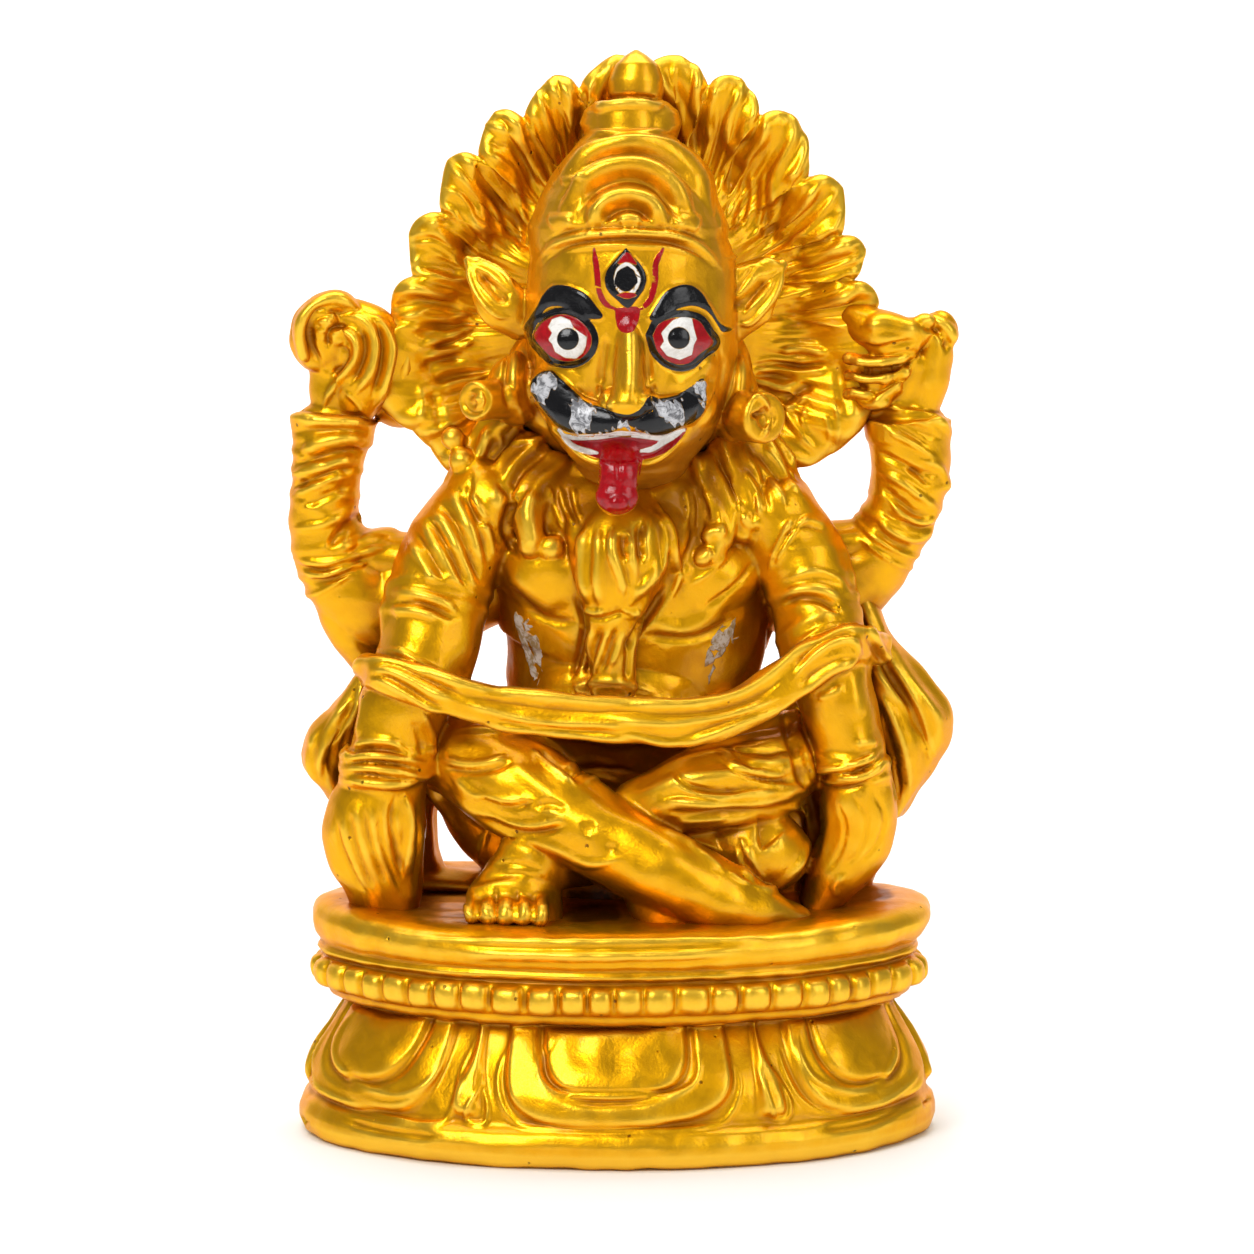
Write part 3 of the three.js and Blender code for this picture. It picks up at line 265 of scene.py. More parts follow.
class Surface:
    """The skin of a piece while strokes are pressed into it. All lengths are in mm, and a
    stroke's line is given by places in the photograph."""

    def __init__(self, piece, look=True):
        self.piece, self.mesh = piece, piece.data
        self.at = points_of(self.mesh, "co")
        ends = np.empty(len(self.mesh.edges) * 2, np.int32)
        self.mesh.edges.foreach_get("vertices", ends)
        self.edges = ends.reshape(-1, 2)
        if look:
            self.look()

    def look(self):
        """Finds how the skin faces and which of it the camera sees."""
        least_facing, lift_off, step_off, sight = 0.02, 0.15, 0.1, 90
        self.out = points_of(self.mesh, "normal")
        self.px, self.py = place_in_photo(self.at)
        way = EYE - self.at
        way /= np.linalg.norm(way, axis=1)[:, None]
        self.seen = np.einsum("ij,ij->i", way, self.out) > least_facing
        tree = BVHTree.FromObject(self.piece, bpy.context.evaluated_depsgraph_get())
        start = self.at + self.out * lift_off + way * step_off
        for i in np.flatnonzero(self.seen):
            if tree.ray_cast(start[i], way[i], sight)[0] is not None:
                self.seen[i] = False

    def settle(self):
        """Writes the skin back to the piece."""
        self.mesh.vertices.foreach_set("co", self.at.ravel())
        self.mesh.update()

    def blur(self, values, times, share=0.5):
        """Evens out a value, or the skin itself, over the neighbours of each point."""
        a, b = self.edges.T
        total = len(self.at)
        count = np.maximum(np.bincount(self.edges.ravel(), minlength=total), 1)
        flat = values.reshape(total, -1).astype(float)
        for _ in range(times):
            for c in range(flat.shape[1]):
                near = np.bincount(a, flat[b, c], total) + np.bincount(b, flat[a, c], total)
                flat[:, c] += share * (near / count - flat[:, c])
        return flat.reshape(values.shape)

    def near(self, line, reach, where=None):
        """For the seen points within reach of a drawn line: their indices, distance in mm,
        side (positive to the right of the way the line runs) and place along it."""
        line = np.asarray(line, float)
        margin = reach / PIXEL + 2
        close = (
            self.seen
            & (self.px > line[:, 0].min() - margin)
            & (self.px < line[:, 0].max() + margin)
            & (self.py > line[:, 1].min() - margin)
            & (self.py < line[:, 1].max() + margin)
        )
        if where is not None:
            close &= where(self.at)
        found = np.flatnonzero(close)
        q = np.stack([self.px[found], self.py[found]], 1)
        best = np.full(len(found), 1e9)
        side = np.zeros(len(found))
        along = np.zeros(len(found))
        runs = np.linalg.norm(np.diff(line, axis=0), axis=1)
        total, passed = runs.sum(), 0.0
        for (a, b), run in zip(zip(line[:-1], line[1:]), runs):
            step = (b - a) / max(run, 1e-9)
            rel = q - a
            t = np.clip(rel @ step, 0, run)
            off = rel - t[:, None] * step
            gap = np.hypot(off[:, 0], off[:, 1])
            closer = gap < best
            best[closer] = gap[closer]
            side[closer] = (step[0] * rel[:, 1] - step[1] * rel[:, 0])[closer]
            along[closer] = (passed + t[closer]) / total
            passed += run
        return found, best * PIXEL, side * PIXEL, along

    def within(self, outline, where=None, curved=True):
        """How far inside a closed outline each seen point lies, in mm (negative outside)."""
        reach = 60
        ring = np.array(list(outline) + [outline[0]], float)
        if curved:
            ring = curve(ring, np.linspace(0, 1, 5 * len(ring)))
            ring[-1] = ring[0]
        found, gap, _, _ = self.near(ring, reach, where)
        x, y = self.px[found], self.py[found]
        inside = np.zeros(len(found), bool)
        for (x0, y0), (x1, y1) in zip(ring[:-1], ring[1:]):
            if y0 != y1:
                inside ^= ((y0 > y) != (y1 > y)) & (x < (x1 - x0) * (y - y0) / (y1 - y0) + x0)
        return np.where(inside, gap, -gap), found

    def lift(self, found, height):
        self.at[found] += self.out[found] * height[:, None]

    def stroke(self, line, half, height, ends=0.2, where=None):
        """A rounded ridge, or a groove where height is negative. It thins out over the share
        ends at both ends."""
        if len(line) > 2:
            line = finely(line)
        found, gap, _, along = self.near(line, half, where)
        fade = 0.15 + 0.85 * (smooth(along / ends) * smooth((1 - along) / ends)) if ends else 1
        x = gap / np.maximum(half * np.sqrt(fade), 1e-6)
        shape = np.where(x < 1, (1 - np.minimum(x, 1) ** 2) ** 2, 0)
        self.lift(found, height * fade * shape)

    def fold(self, line, wide, height, edge=0.35, ends=0.2):
        """An edge of cloth: a sharp step up on the right of the line that fades out."""
        found, gap, side, along = self.near(finely(line), wide)
        fade = smooth(along / ends) * smooth((1 - along) / ends)
        s = np.where(side >= 0, gap, -gap)
        shape = smooth((s + edge) / (2 * edge)) * (1 - smooth(s / wide))
        dip = -0.45 * np.exp(-(((s + 0.9 * edge) / (0.8 * edge)) ** 2))
        self.lift(found, height * fade * (shape + dip))

    def patch(self, outline, height, bevel, where=None):
        """Raises or lowers all within an outline, with a soft edge."""
        inside, found = self.within(outline, where)
        self.lift(found, height * smooth(inside / bevel + 0.5))


def by_hand(surface, amount, seed):
    """The slight unevenness of a form that was modelled by hand and cast: a dozen long waves
    laid over one another."""
    waves, shortest, longest = 12, 3.5, 11
    random = np.random.default_rng(seed)
    swell = np.zeros(len(surface.at))
    for _ in range(waves):
        way = random.normal(size=3)
        way *= 2 * np.pi / random.uniform(shortest, longest) / np.linalg.norm(way)
        swell += np.sin(surface.at @ way + random.uniform(0, 2 * np.pi))
    surface.at += surface.out * (amount / 3.5 * swell)[:, None]


def press(surface, strokes, share=1.0):
    """Works a list of drawn strokes into the skin, in the order given. A row is (half width,
    height, places...), or ("fold", width, height, places...) for an edge of cloth. share
    makes them all softer."""
    for row in strokes:
        if row[0] == "fold":
            surface.fold(row[3:], row[1], share * row[2])
        else:
            surface.stroke(row[2:], row[0], share * row[1])


def work_up(surface, strokes, uneven, seed, share=1.0, soften=0):
    """Gives a skin its unevenness and its strokes, and looks at it afresh."""
    by_hand(surface, uneven, seed)
    press(surface, strokes, share)
    surface.at = surface.blur(surface.at, soften)
    surface.settle()
    surface.look()


def keep(piece, name, values):
    """Stores a value at each point of the piece, for its paint."""
    made = piece.data.attributes.get(name) or piece.data.attributes.new(name, "FLOAT", "POINT")
    made.data.foreach_set("value", values.astype(np.float32))


def mark_hollows(surface, pockets=()):
    """Stores how deep each point lies in a fold, where the gold turns darker: partly darker
    paint, partly painted shade. pockets holds (extra depth, least y, outline) for wider places
    that get painted shade."""
    small, wide, stress_on_small, soft_edge = 6, 30, 2.2, 3
    fine = surface.blur(surface.at, small)
    broad = surface.blur(fine, wide)
    sunk = stress_on_small * (fine - surface.at) + (broad - surface.at)
    depth = np.einsum("ij,ij->i", sunk, surface.out)
    # painted shade in the wider pockets, as extra depth
    for extra, least_y, outline in pockets:
        inside, found = surface.within(outline, lambda at: at[:, 1] > least_y)
        depth[found] += extra * smooth(inside / soft_edge + 0.5)
    keep(surface.piece, "hollow", surface.blur(depth, 2))


def shade_recesses(pieces):
    """Stores how far each point is shut in by what stands round it, and how far it faces
    down, as painted shade: the gold is made browner there."""
    reach, rays, spread, lift_off, evening = 16.0, 4, 0.97, 0.3, 8
    underside_shade = 0.35  # painted shade on surfaces that face down
    open_mane = 0.55  # the mane's locks get less painted shade
    points, faces, count = [], [], 0
    for piece in pieces:
        mesh = piece.data
        mesh.calc_loop_triangles()
        corners = np.empty(len(mesh.loop_triangles) * 3, np.int32)
        mesh.loop_triangles.foreach_get("vertices", corners)
        points.append(points_of(mesh, "co"))
        faces.append(corners.reshape(-1, 3) + count)
        count += len(points[-1])
    all_points, all_faces = np.vstack(points).tolist(), np.vstack(faces).tolist()
    tree = BVHTree.FromPolygons(all_points, all_faces, all_triangles=True)
    random = np.random.default_rng(11)
    for piece, at in zip(pieces, points):
        out = points_of(piece.data, "normal")
        shut = np.zeros(len(at))
        start = at + lift_off * out
        for _ in range(rays):
            way = random.normal(size=at.shape)
            way = out + spread * way / np.linalg.norm(way, axis=1)[:, None]
            way /= np.linalg.norm(way, axis=1)[:, None]
            gaps = [tree.ray_cast(a, b, reach)[3] for a, b in zip(start.tolist(), way.tolist())]
            shut += [0 if gap is None else 1 - (gap / reach) ** 2 for gap in gaps]
        share = open_mane if piece.name == "mane" else 1
        under = underside_shade * np.clip(-out[:, 2], 0, 1)
        surface = Surface(piece, look=False)
        keep(piece, "shade", surface.blur(share * shut / rays + under, evening))


def hand_over(piece, paint):
    """Brings a finished piece to metres, shades it and ties it to the casting."""
    piece.data.transform(Matrix.Scale(0.001, 4))
    pick(piece)
    bpy.ops.object.shade_smooth()
    piece.data.materials.clear()
    piece.data.materials.append(paint)
    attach(piece, "root")
    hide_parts("narasimha_statue")


# paint

GILT = 0.86  # how metallic the gold paint is: its flakes lie in a clear binder
GOLD, PALE_GOLD = (0.77, 0.34, 0.001), (0.92, 0.47, 0.004)
WORN_AND_HIGHLIGHT_GOLD = (1.0, 0.66, 0.06)  # on the proud edges: worn paint, and painted highlight
SHADE_GOLD = (0.46, 0.185, 0.003)  # painted shade, where a point is shut in or faces down
# darker paint in folds, with painted shade there and in the pockets
FOLD_PAINT_AND_SHADE = (0.38, 0.135, 0.002)
# the brown of pinholes, and of the painted shadow in the deepest pocket
PIT_AND_SHADOW_BROWN = (0.07, 0.02, 0.001)
UNPAINTED = -3.0  # what an enamel's attribute holds away from that enamel


class Wiring:
    """Adds nodes to a shader tree. An input is a value or another node's output."""

    def __init__(self, tree):
        self.nodes, self.links = tree.nodes, tree.links

    def node(self, kind, inputs=None, **settings):
        made = self.nodes.new(kind)
        for key, value in settings.items():
            setattr(made, key, value)
        for key, value in (inputs or {}).items():
            if isinstance(value, bpy.types.NodeSocket):
                self.links.new(value, made.inputs[key])
            else:
                made.inputs[key].default_value = value
        return made

    def noise(self, place, scale, detail, roughness=0.5, distortion=0.0):
        inputs = {"Vector": place, "Scale": scale, "Detail": detail}
        inputs |= {"Roughness": roughness, "Distortion": distortion}
        return self.node("ShaderNodeTexNoise", inputs).outputs["Fac"]

    def ramp(self, value, start, stop, low=0.0, high=1.0, soft=False):
        """Goes from low to high while the value goes from start to stop."""
        inputs = {"Value": value, "From Min": start, "From Max": stop, "To Min": low, "To Max": high}
        kind = "SMOOTHSTEP" if soft else "LINEAR"
        return self.node("ShaderNodeMapRange", inputs, interpolation_type=kind).outputs[0]

    def maths(self, operation, *values):
        return self.node("ShaderNodeMath", dict(enumerate(values)), operation=operation).outputs[0]

    def mix(self, factor, first, second):
        """Two colours, each an output or a linear colour of three numbers."""
        full = lambda c: (*c, 1) if isinstance(c, tuple) else c
        inputs = {"Factor": factor, "A": full(first), "B": full(second)}
        return self.node("ShaderNodeMix", inputs, data_type="RGBA").outputs["Result"]

    def kept(self, name):
        """A value stored at the points of the piece."""
        return self.node("ShaderNodeAttribute", attribute_name=name).outputs["Fac"]


def gold_group():
    """Metallic gold brushed over a casting: colour, roughness and height from the place on
    the piece, from how deep it lies in a fold (darker paint and painted shade there, worn paint
    and painted highlight on proud edges) and from how far it is shut in (painted shade)."""
    group = bpy.data.node_groups.new("brushed_gold", "ShaderNodeTree")
    for name, kind, way in (
        ("Place", "NodeSocketVector", "INPUT"),
        ("Hollow", "NodeSocketFloat", "INPUT"),
        ("Shade", "NodeSocketFloat", "INPUT"),
        ("Color", "NodeSocketColor", "OUTPUT"),
        ("Roughness", "NodeSocketFloat", "OUTPUT"),
        ("Height", "NodeSocketFloat", "OUTPUT"),
    ):
        group.interface.new_socket(name, in_out=way, socket_type=kind)
    wiring = Wiring(group)
    ins, outs = wiring.node("NodeGroupInput"), wiring.node("NodeGroupOutput")
    place = ins.outputs["Place"]
    cloud = wiring.noise(place, 85.0, 4.0, 0.6)
    grain = wiring.noise(place, 2600.0, 3.0, 0.65)
    streak = wiring.noise(place, 420.0, 3.0, 0.55, 0.6)
    # pinholes, in one cell out of ten
    cells = wiring.node("ShaderNodeTexVoronoi", {"Vector": place, "Scale": 520.0, "Randomness": 1.0})
    chance = wiring.node("ShaderNodeSeparateColor", {"Color": cells.outputs["Color"]}).outputs["Red"]
    dot = wiring.ramp(cells.outputs["Distance"], 0.16, 0.09)
    pit = wiring.maths("MULTIPLY", wiring.ramp(chance, 0.9, 0.93), dot)
    # folds are unevenly filled
    uneven = wiring.maths("MULTIPLY_ADD", streak, 0.22, -0.11)
    depth = wiring.maths("ADD", ins.outputs["Hollow"], uneven)
    # folds darken with darker paint and painted shade, shut-in places with painted shade; proud edges
    # lighten with wear and painted highlight
    deep = wiring.ramp(depth, 0.0, 0.75, 0.0, 0.9, soft=True)
    shut = wiring.ramp(ins.outputs["Shade"], 0.12, 0.74, 0.0, 0.82, soft=True)
    proud = wiring.ramp(depth, -0.1, -0.55, 0.0, 0.55, soft=True)
    cave = wiring.ramp(depth, 1.3, 2.0, 0.0, 0.85)  # painted shadow in the one pocket that light hardly reaches
    tone = wiring.mix(cloud, GOLD, PALE_GOLD)
    # proud edges lighter: worn paint and painted highlight
    tone = wiring.mix(proud, tone, WORN_AND_HIGHLIGHT_GOLD)
    # painted shade where the casting is shut in or faces down
    tone = wiring.mix(shut, tone, SHADE_GOLD)
    # folds darker: darker paint and painted shade
    tone = wiring.mix(deep, tone, FOLD_PAINT_AND_SHADE)
    # pinholes, and the painted shadow of the cave
    hole = wiring.maths("MAXIMUM", wiring.maths("MULTIPLY", pit, 0.75), cave)
    tone = wiring.mix(hole, tone, PIT_AND_SHADOW_BROWN)
    rough = wiring.maths("MULTIPLY_ADD", deep, 0.2, wiring.ramp(streak, 0.3, 0.7, 0.28, 0.42))
    low = wiring.maths("MULTIPLY_ADD", pit, -0.9, 0.0)
    fine = wiring.maths("MULTIPLY_ADD", grain, 0.22, low)
    height = wiring.maths("MULTIPLY_ADD", streak, 0.5, fine)
    for name, value in (("Color", tone), ("Roughness", rough), ("Height", height)):
        wiring.links.new(value, outs.inputs[name])
    return group


def gold_paint(name, group, enamels=(), edge_tint=(0.75, 0.38, 0.06)):
    """The gold paint, with enamel colours brushed over it where their attributes are above 0.
    enamels holds (attribute, two linear colours it wanders between)."""
    paint = bpy.data.materials.new(name)
    paint.use_nodes = True
    paint.node_tree.nodes.clear()
    wiring = Wiring(paint.node_tree)
    place = wiring.node("ShaderNodeTexCoord").outputs["Object"]
    gold = wiring.nodes.new("ShaderNodeGroup")
    gold.node_tree = group
    stored = {"Hollow": wiring.kept("hollow"), "Shade": wiring.kept("shade")}
    for key, value in {"Place": place, **stored}.items():
        wiring.links.new(value, gold.inputs[key])
    colour, rough, height = (gold.outputs[key] for key in ("Color", "Roughness", "Height"))
    metal = GILT
    if enamels:
        ragged = wiring.maths("MULTIPLY_ADD", wiring.noise(place, 900.0, 2.0), 0.16, -0.08)
        patchy = wiring.ramp(wiring.noise(place, 700.0, 4.0, 0.7, 1.2), 0.42, 0.58)
        cover = None
        for attribute, tint, other in enamels:
            on = wiring.ramp(wiring.maths("ADD", wiring.kept(attribute), ragged), -0.05, 0.05)
            colour = wiring.mix(on, colour, wiring.mix(patchy, tint, other))
            cover = on if cover is None else wiring.maths("MAXIMUM", cover, on)
        metal = wiring.ramp(cover, 0.0, 1.0, GILT, 0.0)
        rough = wiring.node("ShaderNodeMix", {"Factor": cover, "A": rough, "B": 0.13}).outputs["Result"]
        height = wiring.maths("MULTIPLY_ADD", cover, 0.6, height)
    relief = wiring.node("ShaderNodeBump", {"Strength": 0.6, "Distance": 0.00025, "Height": height})
    body = wiring.node("ShaderNodeBsdfPrincipled", {
        "Base Color": colour, "Roughness": rough, "Metallic": metal, "Normal": relief.outputs["Normal"],
        "Specular Tint": (*edge_tint, 1), "Specular IOR Level": 0.35,
        "Coat Weight": 0.2, "Coat Roughness": 0.14,
    })
    wiring.node("ShaderNodeOutputMaterial", {"Surface": body.outputs["BSDF"]})
    return paint


# the plinth

BEADS = 52
BEAD_HEIGHT = 22.8  # where the middle of the bead row lies
PLINTH_OUTLINE = [
    # (how far it stands out from the plan oval, height)
    (1.4, 0), (2.3, 0.7), (2.8, 2), (2.8, 3.4), (2.2, 4.8), (1.2, 5.6), (0.9, 6.2), (0.8, 7.2),
    (0.5, 8.4), (0.1, 9.8), (-0.5, 11.2), (-1.2, 12.6), (-2, 14), (-2.9, 15.4), (-3.8, 16.8),
    (-4.6, 18), (-4.8, 18.6), (-3.4, 18.9), (-2, 19.3), (-1.5, 19.9), (-1.5, 20.5), (-0.7, 20.9),
    (-0.5, 21.8), (-0.4, 22.8), (-0.5, 23.8), (-0.7, 24.7), (-1.3, 25), (-1.1, 25.3), (-0.5, 25.6),
    (-0.2, 26), (-0.4, 26.4), (-0.8, 26.65), (-0.5, 27), (0.2, 27.6), (0.6, 28.6), (0.6, 29.6),
    (0.2, 30.6), (-0.5, 31.3), (-1.6, 31.8), (-3, 32), (-4.6, 32.05),
]


def plinth_relief(way, height, girth):
    """How far beads, petals and tongues stand out, at a way round from the front."""
    # no two beads and petals are quite alike
    round_it = lambda times, shift=0.0: np.sin(2 * np.pi * times * way / girth + shift)
    drift = 0.45 * round_it(7) + 0.3 * round_it(12, 1)
    pitch = girth / BEADS
    number = np.floor((way + drift) / pitch) % BEADS
    odd = np.sin(number * 12.9) * 43.7 % 1 - 0.5
    in_bead = ((way + drift) % pitch) / pitch - 0.5
    up = ((height - BEAD_HEIGHT + 0.3 * odd) / 2) ** 2
    off_middle = np.hypot(np.abs((2.2 + 0.25 * odd) * in_bead) ** 1.6, up)
    bead = (1.1 + 0.35 * odd) * np.sqrt(np.clip(1 - off_middle**2, 0, 1))
    wavy = 0.16 * round_it(9, height / 3) + 0.12 * round_it(4, -height / 2)
    lean = 0.35 * round_it(3, height / 2.6) + 0.5 * round_it(5, 2)
    height = height + 0.35 * round_it(6, 2)
    way = (way + lean) % girth
    return bead + wavy + petals(way, height, girth)


def arch(u, v, wide, tall, power):
    """How far a point is inside an arch, given its half width and its height."""
    return wide * (1 - ((u / wide) ** power + (v / tall) ** power) ** (1 / power))


def petals(way, height, girth):
    """Petals that hang from the waist, each with an inner one, and tongues between some."""
    half_way, aside, broad, slim = 2 * (girth / 4), 38.3, 16.2, 13.9
    places = [(0, broad), (aside, slim), (half_way - aside, slim), (half_way, broad)]
    places += [(half_way + aside, slim), (girth - aside, slim), (girth, broad)]
    v = np.maximum(0, 19 - height)
    raised = np.zeros_like(way)
    for centre, half in places:
        u = np.abs(way - centre)
        outer, inner = arch(u, v, half, 13.2, 4), arch(u, v, half * 0.66, 9.2, 3)
        petal = 1.2 * smooth(outer / 1.2) - 0.8 * bump(inner / 1.1) + 0.4 * smooth(inner / 4)
        raised = np.maximum(raised, petal)
    tongues = (20.3, girth / 4, half_way - 20.3)
    for centre in (*tongues, *(girth - at for at in tongues)):
        half = 0.9 + 1.3 * smooth((17 - height) / 9)
        tongue = 1.1 * smooth((half - np.abs(way - centre)) / 1.1) * smooth((height - 6) / 1.5)
        raised = np.maximum(raised, tongue)
    # only the flared base carries them
    return raised * smooth((height - 5.8) / 0.8) * smooth((18.9 - height) / 0.5)


PLINTH_STROKES = [
    # the flat strip let into the rim at the front
    (0.8, -0.35, (452, 946), (520, 948), (600, 949), (690, 947), (748, 943)),
    (0.7, 0.3, (447, 953), (520, 956), (600, 957), (690, 955), (752, 950)),
    (0.5, -0.3, (455, 961), (520, 964), (600, 965), (690, 962), (745, 958)),
    (0.5, 0.25, (350, 930), (420, 938), (500, 940), (600, 941), (700, 940), (800, 936)),
    # petals, drawn over
    (0.6, 0.35, (519, 1034), (503, 1058), (498, 1085), (505, 1110), (520, 1125), (560, 1129),
     (640, 1130), (700, 1128), (726, 1120), (738, 1100), (740, 1078), (728, 1054)),
    (0.5, 0.35, (551, 1036), (539, 1058), (541, 1080), (556, 1093), (580, 1097), (640, 1097),
     (676, 1094), (696, 1082), (700, 1062), (694, 1046)),
    (0.5, -0.3, (556, 1040), (545, 1060), (548, 1078), (562, 1089), (640, 1092), (676, 1088),
     (692, 1076), (695, 1060)),
    (0.6, 0.35, (450, 1040), (441, 1066), (424, 1086), (398, 1095), (372, 1090), (346, 1074),
     (334, 1052), (345, 1022), (358, 1008)),
    (0.6, 0.35, (340, 1014), (318, 1044), (308, 1066), (312, 1082), (340, 1100), (390, 1117),
     (424, 1124), (444, 1122), (456, 1100), (464, 1066), (478, 1034)),
    (0.5, 0.4, (482, 1060), (478, 1090), (466, 1112), (470, 1122), (484, 1124), (488, 1110),
     (484, 1088), (482, 1060)),
    (0.5, -0.3, (478, 1066), (476, 1092), (472, 1108), (480, 1116)),
    (0.5, 0.4, (752, 1054), (762, 1080), (770, 1104), (776, 1118), (786, 1118), (790, 1106),
     (778, 1080), (762, 1056)),
    (0.6, 0.35, (797, 1030), (800, 1054), (814, 1078), (838, 1090), (862, 1090), (886, 1076),
     (896, 1052), (890, 1024)),
    (0.6, 0.35, (776, 1040), (784, 1070), (798, 1096), (820, 1112), (850, 1112), (888, 1100),
     (912, 1082), (924, 1062)),
    (0.9, -0.5, (340, 1118), (380, 1130), (440, 1138)),
    (0.9, -0.5, (820, 1130), (868, 1122), (905, 1108)),
    # chips in the foot of the base
    (0.5, -0.9, (300, 1117), (304, 1122), (309, 1127)),
    (0.5, -0.9, (923, 1105), (928, 1101), (932, 1096)),
]


def run_along(points):
    """How far along a line each of its points lies."""
    return np.concatenate([[0], np.cumsum(np.linalg.norm(np.diff(points, axis=0), axis=1))])


def plinth_rings():
    """Rings of points up the outside of the plinth, evenly spaced round its oval."""
    columns, rows, oval_steps = 780, 118, 5761
    across, deep = PLAN
    outline = np.array(PLINTH_OUTLINE)
    run = run_along(outline)
    marks = np.linspace(0, run[-1], rows)
    stand, height = (np.interp(marks, run, outline[:, k]) for k in (0, 1))
    turn = np.radians(np.linspace(-90, 270, oval_steps))
    oval = np.stack([across * np.cos(turn), deep * np.sin(turn)], 1)
    length = run_along(oval)
    way = np.arange(columns) / columns * length[-1]
    at = np.stack([np.interp(way, length, oval[:, k]) for k in (0, 1)], 1)
    out = at / np.array([across**2, deep**2])
    out /= np.linalg.norm(out, axis=1)[:, None]
    ways, heights = np.meshgrid(way, height)
    reach = stand[:, None] + plinth_relief(ways, heights, length[-1])
    rings = np.concatenate([at + out * reach[..., None], heights[..., None]], 2)
    # the slab swells at both ends, most at the right
    swell = 1.1 * (rings[..., 0] / across) ** 4 * smooth((rings[..., 2] - 26) / 3)
    rings[..., 2] += swell
    right = np.maximum(0, rings[..., 0] / across)
    rings[..., 0] += swell * (right > 0) + 0.7 * right**2 * smooth((rings[..., 2] - 3) / 4)
    return rings


def lotus_plinth():
    rings = plinth_rings()
    columns = rings.shape[1]
    level = lambda ring, share, z: np.concatenate([ring[:, :2] * share, np.full((columns, 1), z)], 1)
    # the top is flat, in rings that shrink to its middle
    top = [level(rings[-1], share, PLINTH_TOP) for share in (0.88, 0.75, 0.62, 0.5, 0.38, 0.24)]
    foot = level(rings[0], 0.5, 0)
    poles = [np.tile((0.0, 0, z), (columns, 1)) for z in (0, PLINTH_TOP)]
    piece = gather("lotus_plinth", [skin(np.stack([poles[0], foot, *rings, *top, poles[1]]))])
    finish_with(piece, "SMOOTH", factor=0.5, iterations=2)
    surface = Surface(piece)
    work_up(surface, PLINTH_STROKES, uneven=0.1, seed=1)
    mark_hollows(surface, SHADE_POCKETS)
    return piece


# the seated body

def trunk():
    """The chest, shoulders and belly."""
    return [
        drawn(
            (622, 900, 7, 15, 7), (622, 800, 8, 17, 6.5), (615, 725, 7, 14.5, 8.5),
            (618, 690, 5.5, 16, 11.5), (629, 650, 5, 18.6, 12), (634, 600, 3, 19, 12),
            (630, 550, 3, 19, 12), (627, 490, 3, 14, 10), sides=48,
        ),
        ball(spot(568, 578, -1.5), [10.5, 7, 7], [0, 20, 0]),
        ball(spot(690, 583, -1.5), [10.5, 7, 7], [0, -20, 0]),
        ball(spot(622, 690, 0), [13.5, 8.2, 8]),
        ball(spot(627, 515, 0), [16, 9, 8]),
        drawn((500, 508, 3, 6.4, 7), (625, 505, 4, 8.5, 8.6), (760, 515, 3, 6.4, 7)),
        drawn((752, 570, 8, 3, 4), (752, 612, 8, 3.6, 4), (748, 640, 8, 3, 4)),
    ]


def front_arms():
    """Two arms that hang down to the plinth, with their hands and bangles."""
    left = [
        drawn(
            (492, 498, 0, 6.4, 7), (462, 540, -1, 7, 7.5), (438, 595, -3.5, 7.2, 7.3),
            (428, 650, -6, 6.8, 7), (405, 705, -8, 6, 6.2), (391, 750, -8, 5.6, 5.8),
            (384, 785, -8, 5.6, 5.4), sides=48, steps=160,
            relief=rings_on(
                (0.12, 0.03, 0.025, 0.07), (0.22, 0.03, 0.025, 0.07), (0.315, 0.026, 0.05, 0.03),
                (0.38, 0.026, 0.045, 0.02),
            ),
        ),
        drawn(
            (388, 778, -8, 5.4, 5.2), (378, 812, -7.4, 7, 6), (374, 842, -6.6, 7.2, 6),
            (382, 878, -5.6, 5.8, 5.2), (388, 906, -5, 4.6, 4.6),
        ),
        drawn((405, 788, -9.5, 1.6, 2.2), (411, 835, -9, 2, 2.6), (405, 892, -7.5, 1.6, 2)),
        *bangles(388, 751, -8, 3, 6.2, 6, 1.65, -0.5),
        ball(spot(428, 765, -9), [1.5, 1.6, 1.5]),
    ]
    right = [
        drawn(
            (772, 512, 0, 6.3, 7), (800, 560, -1, 6.4, 7.4), (816, 610, -3, 6, 7),
            (824, 655, -5, 6.3, 6.8), (838, 705, -6.5, 5.4, 6), (850, 748, -7, 4.9, 5.4),
            (855, 775, -7, 4.7, 5), sides=48, steps=160,
            relief=rings_on(
                (0.14, 0.025, 0.02, -0.06), (0.22, 0.025, 0.02, -0.05), (0.3, 0.03, 0.05, -0.03),
                (0.4, 0.03, 0.04, 0.03),
            ),
        ),
        drawn(
            (856, 768, -7, 4.7, 4.8), (858, 805, -6.5, 5.5, 5.4), (854, 842, -6, 5, 5.2),
            (835, 873, -5.5, 4.4, 4.6), (818, 902, -5, 2.8, 3.6),
        ),
        *bangles(853, 757, -7, 2, 5, 5.3, 1.7, 0.7),
    ]
    return left + right


def tuft(start, end, *places):
    """A tuft of hair that narrows from one half width to another."""
    sizes = [[start, start], [0.9 * start, 0.85 * start], [end, end]]
    return limb([spot(*one) for one in places], sizes, relief=strands(7, 0.09))


